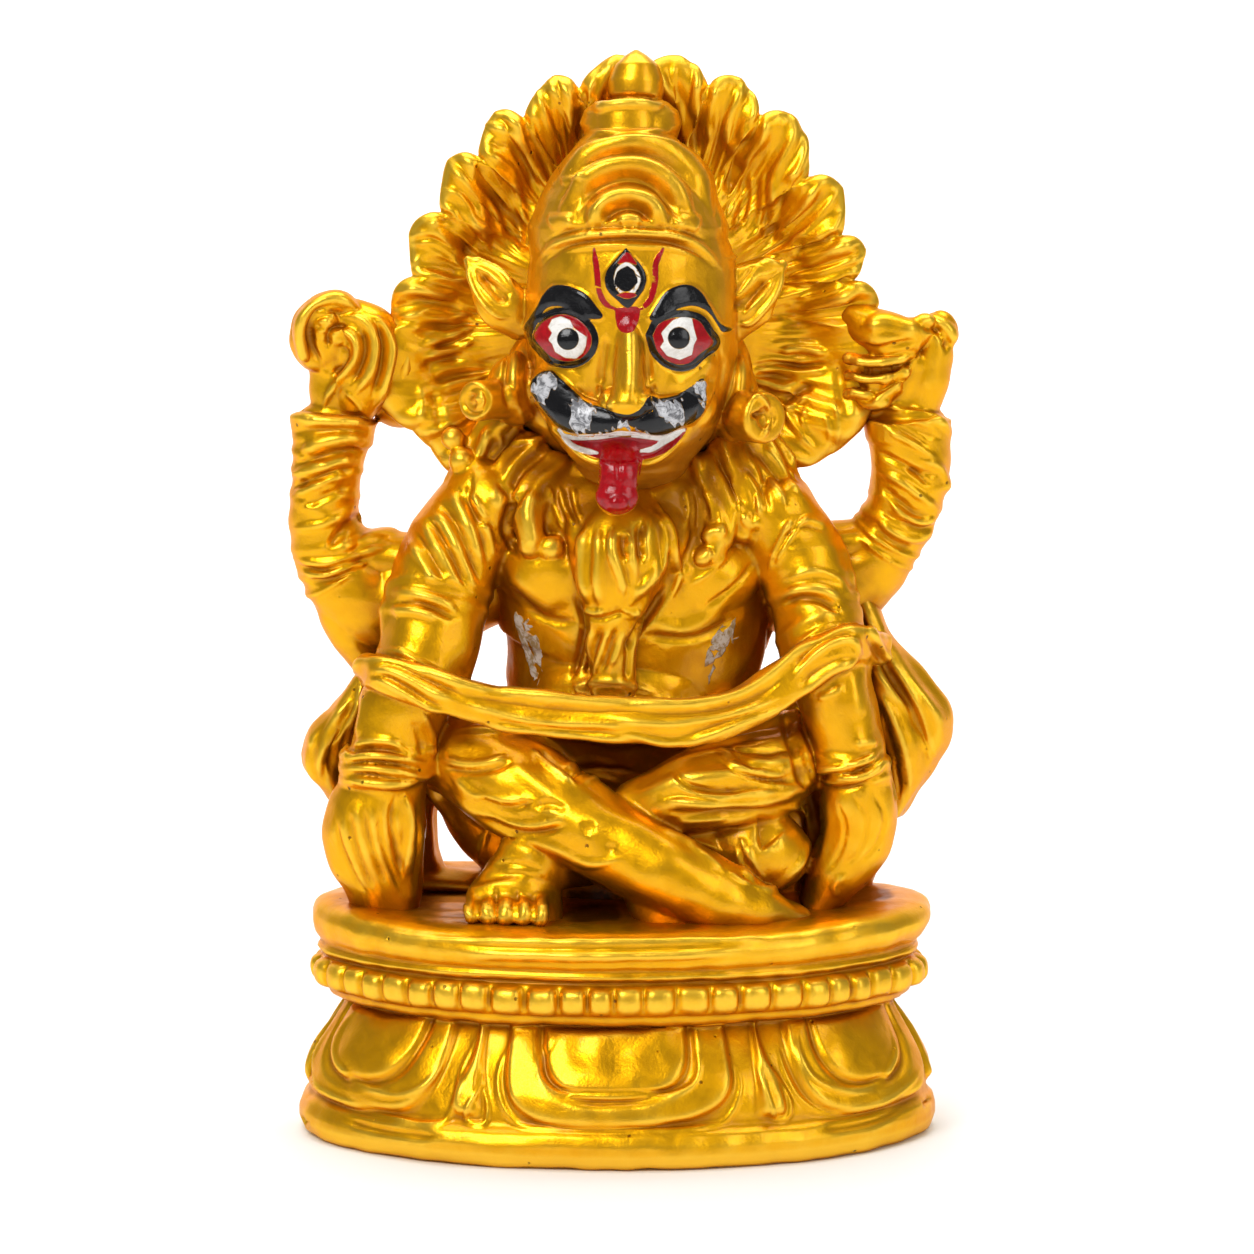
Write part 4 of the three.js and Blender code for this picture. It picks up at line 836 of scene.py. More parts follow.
def beard():
    """The beard, the hair that falls at its sides and the curls that end it."""
    return [
        drawn(
            (627, 505, -5, 9, 3.4), (626, 535, -8, 8.4, 3.6), (622, 575, -9, 6.6, 3.6),
            (620, 600, -9, 4.6, 3), sides=96, relief=strands(7, 0.02),
        ),
        drawn(
            (622, 500, -6, 3, 2), (620, 540, -11, 5.2, 3), (617, 590, -11, 4.8, 3),
            (612, 640, -9.5, 3.4, 2.6), (612, 690, -9.5, 3.2, 2.2), sides=64, relief=strands(5, 0.03),
        ),
        tuft(3.4, 2.4, (505, 420, 1), (480, 455, 1), (460, 488, -1)),
        tuft(3, 1.6, (530, 450, -1), (506, 480, -3), (492, 512, -5)),
        tuft(3, 1.5, (556, 470, -2), (530, 505, -5.6), (530, 548, -7.6)),
        tuft(3.6, 2.4, (750, 440, 1), (775, 475, 0), (790, 505, -1)),
        tuft(3.2, 1.6, (728, 450, -1), (746, 490, -3), (745, 535, -5)),
        tuft(3, 1.4, (700, 470, -2), (720, 515, -5), (712, 560, -7)),
        ball(spot(453, 438, -1), [1.6, 1.6, 1.6]),
        ball(spot(461, 461, -2), [1.8, 1.8, 1.8]),
        ball(spot(495, 501, -5.8), [2, 1.6, 2.4]),
        ball(spot(551, 547, -7.4), [1.8, 1.5, 1.6]),
        ball(spot(744, 517, -5), [1.6, 1.5, 2.4]),
        ball(spot(718, 537, -6.4), [2.2, 1.6, 1.6], [0, 30, 0]),
        ball(spot(704, 556, -7.2), [1.5, 1.4, 1.4]),
    ]


def toes():
    line = lambda i: [
        (-19.4 + 2.3 * i, -14.5 - 0.4 * i, 35.2),
        (-19.7 + 2.35 * i, -18.4 - 0.5 * i, 34),
        (-19.7 + 2.35 * i, -20 - 0.4 * i, 33),
    ]
    return [limb(line(i), [[1.1, 1.2], [1.2, 1.3], [1.1, 1.1]], sides=16, steps=12) for i in range(5)]


def legs():
    """Crossed legs, the front shin in draped cloth, and one foot with its toes."""
    gathers = lambda t, turn: 1 + 0.06 * np.cos(9 * turn + 2 * t) * smooth(t * 5) * smooth(4 - 4 * t)
    return [
        drawn((560, 770, 8, 8, 8), (505, 765, 3, 7, 7.4), (450, 755, -3, 5.6, 6)),
        drawn(
            (452, 752, -3, 5.6, 6), (480, 765, -6, 6.6, 6.6), (540, 800, -11, 6.8, 6.6),
            (605, 840, -15, 6, 6), (675, 876, -17.4, 5.4, 5.4), (740, 906, -16.4, 4.6, 4.6),
            (796, 924, -12, 2.6, 2.8), sides=48, steps=160,
            relief=swags(
                (0.06, 0.05, 0.02, 0.05, 0.02), (0.2, 0.05, 0.025, 0.07, 0.04),
                (0.35, 0.05, 0.02, 0.07, 0.05),
            ),
        ),
        drawn(
            (650, 880, -13, 4.4, 5), (668, 905, -13.6, 5, 5.6), (720, 924, -13, 4.4, 5),
            (775, 934, -11, 2.4, 3),
        ),
        drawn((690, 790, 8, 8.5, 9), (745, 775, 4, 8, 8.5), (788, 752, -3, 5.6, 6.5)),
        drawn(
            (795, 760, -5, 4.6, 5.4), (758, 778, -9.5, 6, 6), (700, 790, -12, 6, 5.6),
            (636, 812, -11, 4.4, 4.4), sides=48, steps=80, facing=UP, relief=gathers,
        ),
        ball(spot(756, 848, -8.5), [7.6, 6.2, 6.2], [0, 20, 0]),
        drawn((690, 840, -8, 5, 5), (740, 868, -9, 5, 4.4)),
        drawn(
            (640, 838, -8, 5, 5), (585, 850, -10.5, 4.8, 5), (535, 860, -12.5, 5, 4.8),
            (520, 888, -13.5, 5.2, 4.6),
        ),
        drawn((522, 880, -12, 5.6, 5), (514, 905, -14.5, 6.6, 5), (510, 918, -16, 6.6, 3.4)),
        *toes(),
    ]


def band():
    """The band of cloth round both forearms."""
    boxy = lambda t, turn: (np.cos(turn) ** 4 + np.sin(turn) ** 4) ** -0.25
    run = drawn(
        (366, 672, -3, 2.2, 1.5), (378, 672, -12.5, 2.4, 1.7), (430, 690, -16, 2.7, 1.7),
        (500, 708, -16.5, 2.7, 1.6), (570, 715, -17, 2.8, 1.5), (640, 722, -17.2, 2.9, 1.5),
        (700, 721, -16.8, 3.1, 1.6), (750, 704, -15.3, 3, 1.7), (800, 672, -13, 3, 1.7),
        (845, 646, -12, 2.7, 1.7), (880, 648, -3, 2.2, 1.6), sides=48, steps=120, relief=boxy,
    )
    return [run]


def seat_and_cloth():
    """What fills the middle of the figure, and pleated cloth behind the arms."""
    return [
        drawn(
            (640, 895, 12, 20, 8.5), (628, 830, 12, 21, 9.5), (620, 760, 10.5, 17, 9),
            (622, 680, 9, 14.5, 8.6), (626, 590, 9, 19, 8), (628, 500, 8, 24, 7), (630, 420, 7, 22, 5),
            sides=80, steps=90, dome=0.5, relief=pleats(9, 0.045, 2),
        ),
        drawn(
            (455, 560, 8, 6, 5.6), (500, 520, 8, 7.4, 6.4), (628, 500, 7.5, 9, 6.6),
            (750, 520, 8, 7.4, 6.4), (800, 560, 8, 6, 5.6),
        ),
        drawn((461, 777, 4, 5.4, 5), (508, 830, 8, 6.6, 7), (575, 872, 12, 8, 8)),
        drawn((392, 877, 12, 2, 7), (470, 879, 13, 2, 8), (560, 884, 13, 2, 8)),
        drawn(
            (372, 674, 3, 1.8, 3.6), (346, 718, 3, 2.8, 4.8), (327, 754, 4, 3.5, 5),
            (338, 790, 5, 1.8, 3.6), sides=48, relief=pleats(7, 0.06, 2),
        ),
        drawn(
            (430, 590, 8.5, 7, 5), (415, 660, 9, 7.4, 6), (398, 740, 9.5, 7.6, 6.4),
            (398, 820, 10, 5.4, 6), (406, 884, 11, 6, 5), sides=48, relief=pleats(9, 0.06, 2),
        ),
        drawn((438, 640, 8, 4.4, 6), (434, 700, 8, 4.8, 7), (452, 775, 8, 5, 6)),
        drawn(
            (862, 600, 5, 1.6, 3.2), (883, 648, 4, 2.2, 4), (907, 684, 3, 2.9, 5),
            (928, 719, 4, 3.5, 5.4), (921, 752, 5, 2.7, 4.6), (898, 800, 6, 1.8, 3.6), sides=48,
            relief=pleats(6, 0.06, 2),
        ),
        drawn((864, 640, 3, 2, 4), (886, 700, 2, 2.8, 5), (903, 755, 3, 3.6, 5), (894, 806, 5, 1.9, 4)),
        drawn(
            (822, 590, 8.5, 7, 5), (838, 670, 9, 7.4, 6), (850, 750, 9.5, 7.6, 6.8),
            (838, 830, 10, 7.4, 6.4), (825, 888, 10.5, 6, 5), sides=48, relief=pleats(9, 0.06, 2),
        ),
        drawn(
            (812, 640, 9, 4, 5), (812, 700, 10, 4, 6), (785, 760, 11, 6.6, 7), (760, 830, 11.5, 8.4, 8),
            (750, 880, 12, 9, 7),
        ),
    ]


BODY_STROKES = [
    # sleeve folds at the left shoulder
    (1.1, 0.6, (448, 489), (464, 516), (475, 540), (484, 568)),
    (1.1, 0.6, (430, 506), (445, 525), (464, 562), (475, 588)),
    (1.0, 0.5, (419, 519), (436, 545), (453, 573), (464, 592)),
    (0.8, 0.6, (467, 488), (482, 514), (491, 540), (495, 562)),
    (1.0, 0.6, (408, 536), (421, 560), (436, 584)),
    (0.8, -0.7, (438, 499), (456, 525), (471, 558), (480, 584)),
    (0.8, -0.7, (425, 514), (440, 536), (460, 571), (471, 592)),
    (0.7, -0.6, (458, 488), (473, 514), (484, 545), (488, 566)),
    (0.7, -0.6, (413, 527), (430, 555), (447, 584)),
    (1.1, 0.6, (388, 592), (410, 592), (440, 601), (460, 614)),
    (0.9, -0.9, (388, 603), (414, 602), (440, 611), (458, 620)),
    (1.1, 0.8, (388, 610), (414, 611), (440, 618)),
    # hair curls at the left of the neck
    (1.0, 0.8, (488, 427), (484, 445), (473, 467)),
    (0.8, 0.7, (497, 432), (501, 445), (488, 460)),
    (2.2, 1.0, (538, 488), (529, 510), (532, 532), (542, 549)),
    (0.9, -0.9, (529, 488), (510, 510), (506, 532), (519, 560)),
    (0.8, -0.7, (471, 475), (469, 497), (480, 519), (497, 525)),
    (0.7, -0.6, (497, 482), (510, 497), (508, 519)),
    (0.6, 0.5, (510, 443), (529, 440), (553, 438)),
    # strands and curls at the right of the neck
    (0.9, 0.7, (774, 419), (791, 445), (797, 467)),
    (0.7, 0.6, (763, 445), (778, 462), (791, 482), (802, 495)),
    (0.7, 0.6, (750, 453), (765, 475), (780, 493), (787, 510)),
    (0.7, 0.6, (743, 471), (756, 493), (762, 519)),
    (0.6, -0.6, (769, 432), (785, 453), (795, 480)),
    (0.6, -0.6, (756, 451), (772, 471), (785, 488)),
    (0.6, -0.6, (746, 464), (761, 486), (769, 514)),
    (1.3, 0.9, (741, 514), (752, 525), (761, 519)),
    (0.8, 0.6, (733, 475), (737, 497), (741, 519)),
    # the edges of the garment on the right shoulder
    (0.6, 0.6, (811, 512), (787, 542), (772, 568)),
    (0.6, 0.6, (793, 516), (777, 547), (767, 575)),
    (0.5, -0.5, (802, 514), (782, 545), (769, 571)),
    ("fold", 1.6, 0.7, (828, 529), (804, 523), (782, 536)),
    (0.7, 0.5, (785, 580), (813, 571), (834, 577), (850, 592)),
    (0.9, -1.0, (780, 607), (798, 599), (821, 601), (843, 614)),
    (1.0, 0.6, (782, 597), (800, 589), (824, 590), (845, 603)),
    (0.7, 0.7, (841, 523), (852, 553), (858, 579), (871, 605)),
    (0.5, 0.5, (834, 521), (845, 549), (852, 577), (863, 605)),
    # the beard down the chest
    (1.3, 1.2, (587, 528), (581, 553), (583, 579), (592, 605)),
    (1.2, 0.9, (598, 526), (598, 556), (598, 581), (601, 609)),
    (1.1, 1.2, (612, 526), (612, 553), (621, 579), (624, 599)),
    (1.0, 0.8, (633, 531), (632, 553), (634, 576), (631, 602)),
    (1.0, -1.4, (624, 531), (624, 549), (627, 560)),
    (1.0, -1.4, (642, 519), (640, 542), (642, 563)),
    (1.2, 1.4, (651, 510), (660, 524), (664, 547), (658, 570), (642, 588), (631, 604)),
    (0.8, 1.1, (656, 505), (670, 528), (674, 553), (678, 579), (670, 601)),
    (0.6, -0.8, (666, 549), (670, 572), (660, 588)),
    (0.6, -0.7, (578, 609), (592, 617), (605, 618), (621, 614), (637, 618)),
    (0.9, 0.9, (583, 609), (594, 613), (605, 611)),
    (0.9, 0.8, (621, 612), (633, 615), (642, 611)),
    (0.8, 0.7, (592, 627), (587, 650), (580, 677)),
    (0.7, 0.7, (610, 627), (601, 650), (592, 677)),
    (0.7, 0.5, (624, 629), (617, 650), (610, 668)),
    (0.6, -0.7, (601, 629), (594, 652), (587, 677)),
    (0.6, -0.7, (617, 627), (609, 650), (601, 673)),
    (0.8, -1.4, (666, 588), (654, 609), (640, 627), (624, 654)),
    (0.7, -0.9, (632, 636), (628, 659), (627, 680)),
    (0.9, -1.2, (574, 595), (584, 622), (581, 650), (571, 680)),
    # the breast
    (0.9, -0.7, (509, 583), (532, 609), (550, 620), (578, 622)),
    (1.6, 0.4, (507, 567), (532, 595), (559, 613)),
    (0.9, -0.8, (642, 634), (660, 637), (688, 638), (711, 632), (734, 618)),
    (1.6, 0.5, (651, 622), (681, 629), (704, 622), (729, 602)),
    (0.6, -0.5, (757, 558), (732, 588), (704, 609)),
    (0.6, 0.4, (738, 544), (711, 572), (686, 588)),
    (1.3, 0.9, (702, 542), (713, 531), (727, 533)),
    (1.1, 0.8, (693, 560), (704, 560), (711, 549)),
    (0.9, 0.6, (693, 567), (683, 576), (688, 583)),
    (0.9, 0.6, (575, 687), (587, 683), (605, 682), (624, 684), (647, 691), (660, 697)),
    (1.6, 0.7, (575, 692), (582, 689), (589, 692)),
    # neck strands
    (0.6, 0.6, (559, 485), (564, 508), (575, 528)),
    (0.6, 0.6, (573, 485), (575, 505), (582, 524)),
    (0.6, 0.5, (548, 485), (555, 508), (564, 531)),
    (0.5, -0.5, (566, 485), (570, 505), (579, 526)),
    (0.6, 0.5, (647, 485), (654, 501), (663, 514)),
    (0.6, 0.5, (704, 487), (711, 505), (713, 524)),
    (0.6, 0.5, (683, 487), (688, 510), (683, 531)),
    (0.6, -0.5, (695, 487), (699, 508), (697, 531)),
    # the left end of the band
    (1.0, 0.9, (378, 649), (399, 652), (418, 662), (441, 675), (464, 684), (498, 691)),
    (0.7, -0.8, (372, 664), (395, 665), (418, 676), (445, 688), (468, 698)),
    (0.9, 0.8, (371, 671), (390, 671), (409, 679), (429, 691), (454, 701)),
    (0.6, -0.6, (370, 677), (386, 677), (404, 686), (427, 701), (450, 712)),
    (0.8, 0.6, (370, 680), (381, 680), (402, 692), (422, 704), (445, 717)),
    # the band in front of the belly
    (0.9, 0.8, (487, 689), (533, 694), (578, 699), (640, 701)),
    (0.8, -0.7, (459, 695), (510, 704), (578, 711), (640, 712)),
    (0.8, 0.6, (454, 701), (487, 710), (533, 721), (601, 725), (640, 728)),
    (0.6, -0.5, (487, 719), (533, 727), (578, 732), (640, 734)),
    (0.8, 0.6, (441, 731), (487, 729), (533, 730), (578, 737), (640, 741)),
    # the left forearm
    (0.8, 0.5, (420, 710), (430, 729), (433, 747), (430, 761)),
    (0.7, -0.4, (411, 719), (420, 738), (422, 756)),
    (0.9, 0.5, (365, 692), (360, 715), (357, 738)),
    # the left bangles
    (0.8, 0.8, (349, 748), (372, 741), (390, 742), (407, 750)),
    (0.7, 0.7, (345, 759), (367, 756), (395, 758), (427, 763)),
    (0.7, 0.7, (344, 769), (367, 768), (390, 771), (418, 776), (429, 778)),
    (0.7, 0.6, (345, 780), (372, 784), (399, 786), (422, 783)),
    (0.5, -0.8, (348, 753), (370, 749), (392, 750), (411, 757)),
    (0.5, -0.8, (345, 764), (370, 762), (395, 764), (422, 770)),
    (0.5, -0.8, (345, 774), (370, 775), (395, 779), (420, 780)),
    # fingers of the left hand
    (0.5, -0.5, (349, 807), (355, 841), (365, 871), (376, 892)),
    (0.5, -0.5, (363, 802), (368, 834), (379, 866), (390, 889)),
    (0.5, -0.5, (337, 820), (343, 850), (356, 878), (367, 894)),
    (0.5, -0.5, (379, 807), (381, 839), (392, 871), (402, 892)),
    (0.8, 0.3, (343, 814), (349, 846), (360, 876), (372, 893)),
    (0.8, 0.3, (356, 804), (362, 838), (372, 869), (383, 890)),
    (0.8, 0.3, (371, 804), (375, 836), (386, 869), (396, 890)),
    (1.2, 0.9, (404, 791), (411, 820), (409, 853), (405, 880)),
    (0.8, -0.9, (395, 795), (391, 820), (396, 848), (401, 876)),
    (0.8, -0.8, (418, 802), (419, 841), (415, 887)),
    # cloth behind, left
    (0.7, 0.7, (366, 678), (355, 710), (349, 738), (344, 758)),
    (0.8, -0.8, (358, 696), (342, 724), (333, 752), (329, 779)),
    (0.9, 0.6, (349, 703), (328, 729), (319, 756), (321, 779)),
    (0.8, 0.5, (333, 708), (314, 729), (309, 752)),
    (0.7, -0.6, (341, 729), (326, 756), (324, 784)),
    # the draped shin
    (1.0, 0.8, (441, 758), (464, 764), (487, 763), (510, 756)),
    (0.8, -0.7, (442, 768), (468, 772), (494, 769), (512, 763)),
    (1.1, 0.8, (449, 774), (475, 795), (510, 803), (531, 799)),
    (0.8, -0.9, (477, 797), (507, 806), (533, 802)),
    (1.1, 0.8, (445, 781), (475, 807), (505, 824), (533, 827), (562, 820)),
    (0.8, -0.9, (480, 814), (510, 827), (537, 832), (567, 826)),
    (1.1, 0.8, (441, 786), (464, 804), (487, 825), (521, 839), (556, 849), (590, 864), (624, 859)),
    (0.7, 0.8, (530, 748), (549, 765), (576, 786)),
    (0.7, -0.8, (535, 747), (558, 765), (583, 784)),
    (1.6, 0.4, (510, 761), (533, 781), (556, 797)),
    (1.0, -0.6, (533, 807), (551, 804), (567, 811)),
    (1.4, -0.45, (581, 830), (588, 828), (595, 830)),
    (1.1, -0.4, (606, 850), (611, 849), (616, 850)),
    # the lap
    (0.9, 0.5, (560, 768), (590, 760), (620, 768)),
    (0.7, 0.5, (580, 785), (600, 778), (622, 784)),
    (0.6, -0.6, (560, 778), (600, 768), (640, 772)),
    # foot and toes
    (0.5, -0.4, (475, 893), (475, 905), (474, 920)),
    (0.5, -0.4, (495, 888), (496, 903), (496, 923)),
    (0.5, -0.4, (516, 888), (518, 903), (518, 923)),
    (0.5, -0.4, (534, 893), (535, 908), (535, 925)),
    (1.0, -0.6, (464, 887), (487, 877), (521, 874), (553, 884)),
    (0.8, 0.5, (488, 827), (482, 848), (479, 866)),
    (1.5, 0.5, (498, 841), (521, 848), (537, 859)),
    (0.8, -0.5, (487, 871), (510, 864), (544, 871)),
    (0.9, 0.4, (464, 903), (465, 915)),
    (0.9, 0.4, (485, 901), (485, 915)),
    (0.9, 0.4, (507, 898), (507, 915)),
    (0.9, 0.4, (526, 901), (526, 916)),
    (0.9, 0.4, (544, 903), (544, 917)),
    # the right end of the band
    (0.9, 0.8, (600, 698), (648, 702), (697, 702), (736, 694), (765, 678), (789, 658), (808, 639),
     (830, 625), (852, 627)),
    (0.8, -0.7, (600, 709), (661, 714), (697, 713), (736, 706), (765, 692), (791, 670)),
    (0.8, 0.6, (600, 719), (661, 724), (697, 721), (736, 713), (770, 703), (794, 692)),
    (0.6, -0.5, (624, 731), (673, 737), (709, 728), (745, 716), (775, 707)),
    (0.8, 0.6, (600, 732), (636, 736), (680, 746), (709, 736), (745, 721), (779, 709), (794, 701)),
    (0.7, -0.8, (794, 670), (813, 648), (838, 635), (859, 636)),
    (0.9, 0.8, (791, 682), (806, 663), (830, 644), (852, 641), (864, 658)),
    (0.6, -0.6, (799, 687), (818, 670), (842, 658), (862, 658)),
    (0.7, 0.5, (801, 696), (818, 682), (842, 667), (863, 665)),
    # the right forearm, its bangles and hand
    (0.7, 0.6, (794, 704), (800, 736), (811, 767), (818, 789)),
    (0.9, -0.9, (782, 711), (791, 745), (802, 779), (812, 794)),
    (1.5, 0.4, (852, 670), (857, 697), (859, 721)),
    (0.8, 0.4, (816, 699), (830, 695), (845, 685)),
    (0.8, 0.8, (814, 771), (842, 768), (867, 760), (882, 748)),
    (0.8, 0.8, (818, 781), (847, 780), (871, 773), (887, 761)),
    (0.5, -0.9, (816, 776), (845, 774), (869, 767), (885, 755)),
    (0.5, -0.7, (821, 788), (852, 787), (886, 773)),
    (1.0, 0.6, (854, 745), (867, 743), (879, 741)),
    (1.2, -1.0, (811, 794), (818, 830), (812, 862), (800, 886)),
    (1.0, 0.4, (825, 796), (829, 823), (824, 845), (811, 869), (806, 888)),
    (0.5, -0.4, (852, 794), (867, 818), (862, 847), (842, 871)),
    (0.5, -0.4, (871, 789), (884, 813), (879, 842), (857, 867)),
    (0.5, -0.3, (838, 801), (845, 825), (840, 852), (825, 874)),
    (0.8, 0.5, (838, 898), (835, 886), (845, 874)),
    # the right thigh in its swags
    (0.8, 0.7, (719, 745), (736, 758), (765, 762), (791, 758)),
    (0.6, -0.7, (726, 743), (745, 751), (770, 754), (789, 750)),
    (0.8, 0.6, (755, 770), (775, 767), (789, 767)),
    (0.8, 0.8, (719, 746), (727, 760), (748, 771), (774, 775), (791, 773)),
    (0.7, -0.7, (729, 750), (746, 762), (770, 768), (791, 764)),
    (0.9, 0.9, (674, 779), (691, 791), (721, 796), (752, 794), (782, 791)),
    (0.8, -0.9, (672, 771), (687, 785), (715, 792), (748, 790)),
    (0.6, -0.6, (723, 764), (746, 775), (774, 781), (801, 781)),
    (0.7, 0.6, (738, 779), (762, 784), (791, 785)),
    (0.9, 0.8, (660, 801), (691, 803), (727, 806), (762, 803), (791, 799)),
    (0.8, -0.8, (660, 811), (693, 813), (731, 812), (766, 809)),
    (0.8, 0.6, (672, 822), (701, 820), (731, 816)),
    (0.7, 0.6, (746, 754), (766, 756), (787, 754)),
    # the knee, hollow like a bowl
    (0.9, 0.8, (782, 809), (801, 809), (809, 826), (808, 852), (797, 869), (782, 883), (770, 889),
     (750, 883)),
    (3.0, -1.6, (756, 836), (766, 836), (774, 844)),
    (0.5, 0.6, (748, 844), (754, 862), (766, 883)),
    (0.5, 0.6, (736, 848), (742, 867), (756, 883)),
    (0.5, 0.5, (740, 836), (746, 852), (752, 864)),
    (0.4, 0.5, (729, 871), (740, 879), (752, 885)),
    (0.6, 0.5, (656, 825), (685, 839), (707, 845), (726, 854)),
    (0.5, 0.4, (685, 840), (702, 852), (726, 871)),
    # cloth behind, right
    (0.8, 0.8, (862, 607), (879, 644), (903, 680), (920, 709), (936, 758)),
    (0.9, -0.9, (865, 632), (884, 663), (903, 695), (919, 728), (927, 750)),
    (0.9, 0.8, (867, 661), (891, 692), (913, 716), (924, 743), (933, 767)),
    (0.8, -0.7, (878, 707), (891, 745), (897, 779), (897, 808)),
    (0.7, 0.5, (879, 692), (898, 731), (908, 770), (910, 799)),
]

# pockets given painted shade, where little light falls: (extra depth, least y, outline)
SHADE_POCKETS = [
    (0.5, -9, [(470, 742), (520, 738), (600, 752), (660, 752), (640, 775), (596, 806), (560, 790),
     (520, 765)]),
    (2.2, -18, [(562, 872), (592, 862), (612, 880), (622, 908), (626, 930), (600, 936), (566, 930)]),
    (0.45, -12, [(798, 718), (806, 752), (816, 790), (818, 826), (806, 868), (796, 898), (804, 846),
     (806, 802), (796, 760)]),
    (0.4, -12, [(478, 570), (500, 560), (520, 600), (548, 650), (560, 696), (500, 700), (488, 640)]),
    (0.3, -12, [(738, 560), (762, 590), (770, 650), (720, 690), (700, 690), (728, 640)]),
    (0.7, -12, [(492, 424), (545, 450), (575, 478), (600, 498), (596, 536), (566, 528), (545, 500),
     (506, 480)]),
    (0.7, -12, [(748, 436), (690, 478), (660, 492), (655, 530), (690, 545), (716, 520), (738, 490),
     (762, 466)]),
]
# painted shade under the chin: (extra depth, least y, outline)
CHIN_SHADE = [
    (1.0, -40, [(548, 440), (572, 458), (600, 468), (640, 468), (672, 456), (700, 430), (716, 440),
     (690, 476), (640, 500), (596, 500), (552, 474)]),
]

# where the gold is rubbed: (direction in radians that the streaks run in, outline)
RUBBED = [
    (1.2, [(509, 613), (521, 611), (536, 630), (545, 652), (540, 668), (547, 692), (534, 680),
     (522, 648)]),
    (1.9, [(735, 618), (737, 640), (724, 656), (712, 672), (710, 690), (704, 670), (706, 648),
     (716, 632)]),
]


def rub(surface):
    """Stores dry streaks of whitish primer that show through the gold."""
    shown = np.full(len(surface.at), UNPAINTED)
    for turn, outline in RUBBED:
        inside, found = surface.within(outline)
        px, py = surface.px[found], surface.py[found]
        across = px * math.sin(turn) - py * math.cos(turn)
        streaks = 0.35 * np.sin(1.3 * across) + 0.35 * np.sin(0.57 * across + 0.05 * py)
        shown[found] = np.maximum(shown[found], np.minimum(inside, 0.6) + streaks - 0.3)
    keep(surface.piece, "rubbed", shown)


def seated_body():
    piece = gather("seated_body", trunk() + front_arms() + beard() + legs() + band() + seat_and_cloth())
    one_skin(piece, grain=0.36, soften=4)
    surface = Surface(piece)
    work_up(surface, BODY_STROKES, uneven=0.16, seed=3, share=0.65)
    mark_hollows(surface, SHADE_POCKETS)
    rub(surface)
    thin_to(piece)
    return piece


# the rear arms

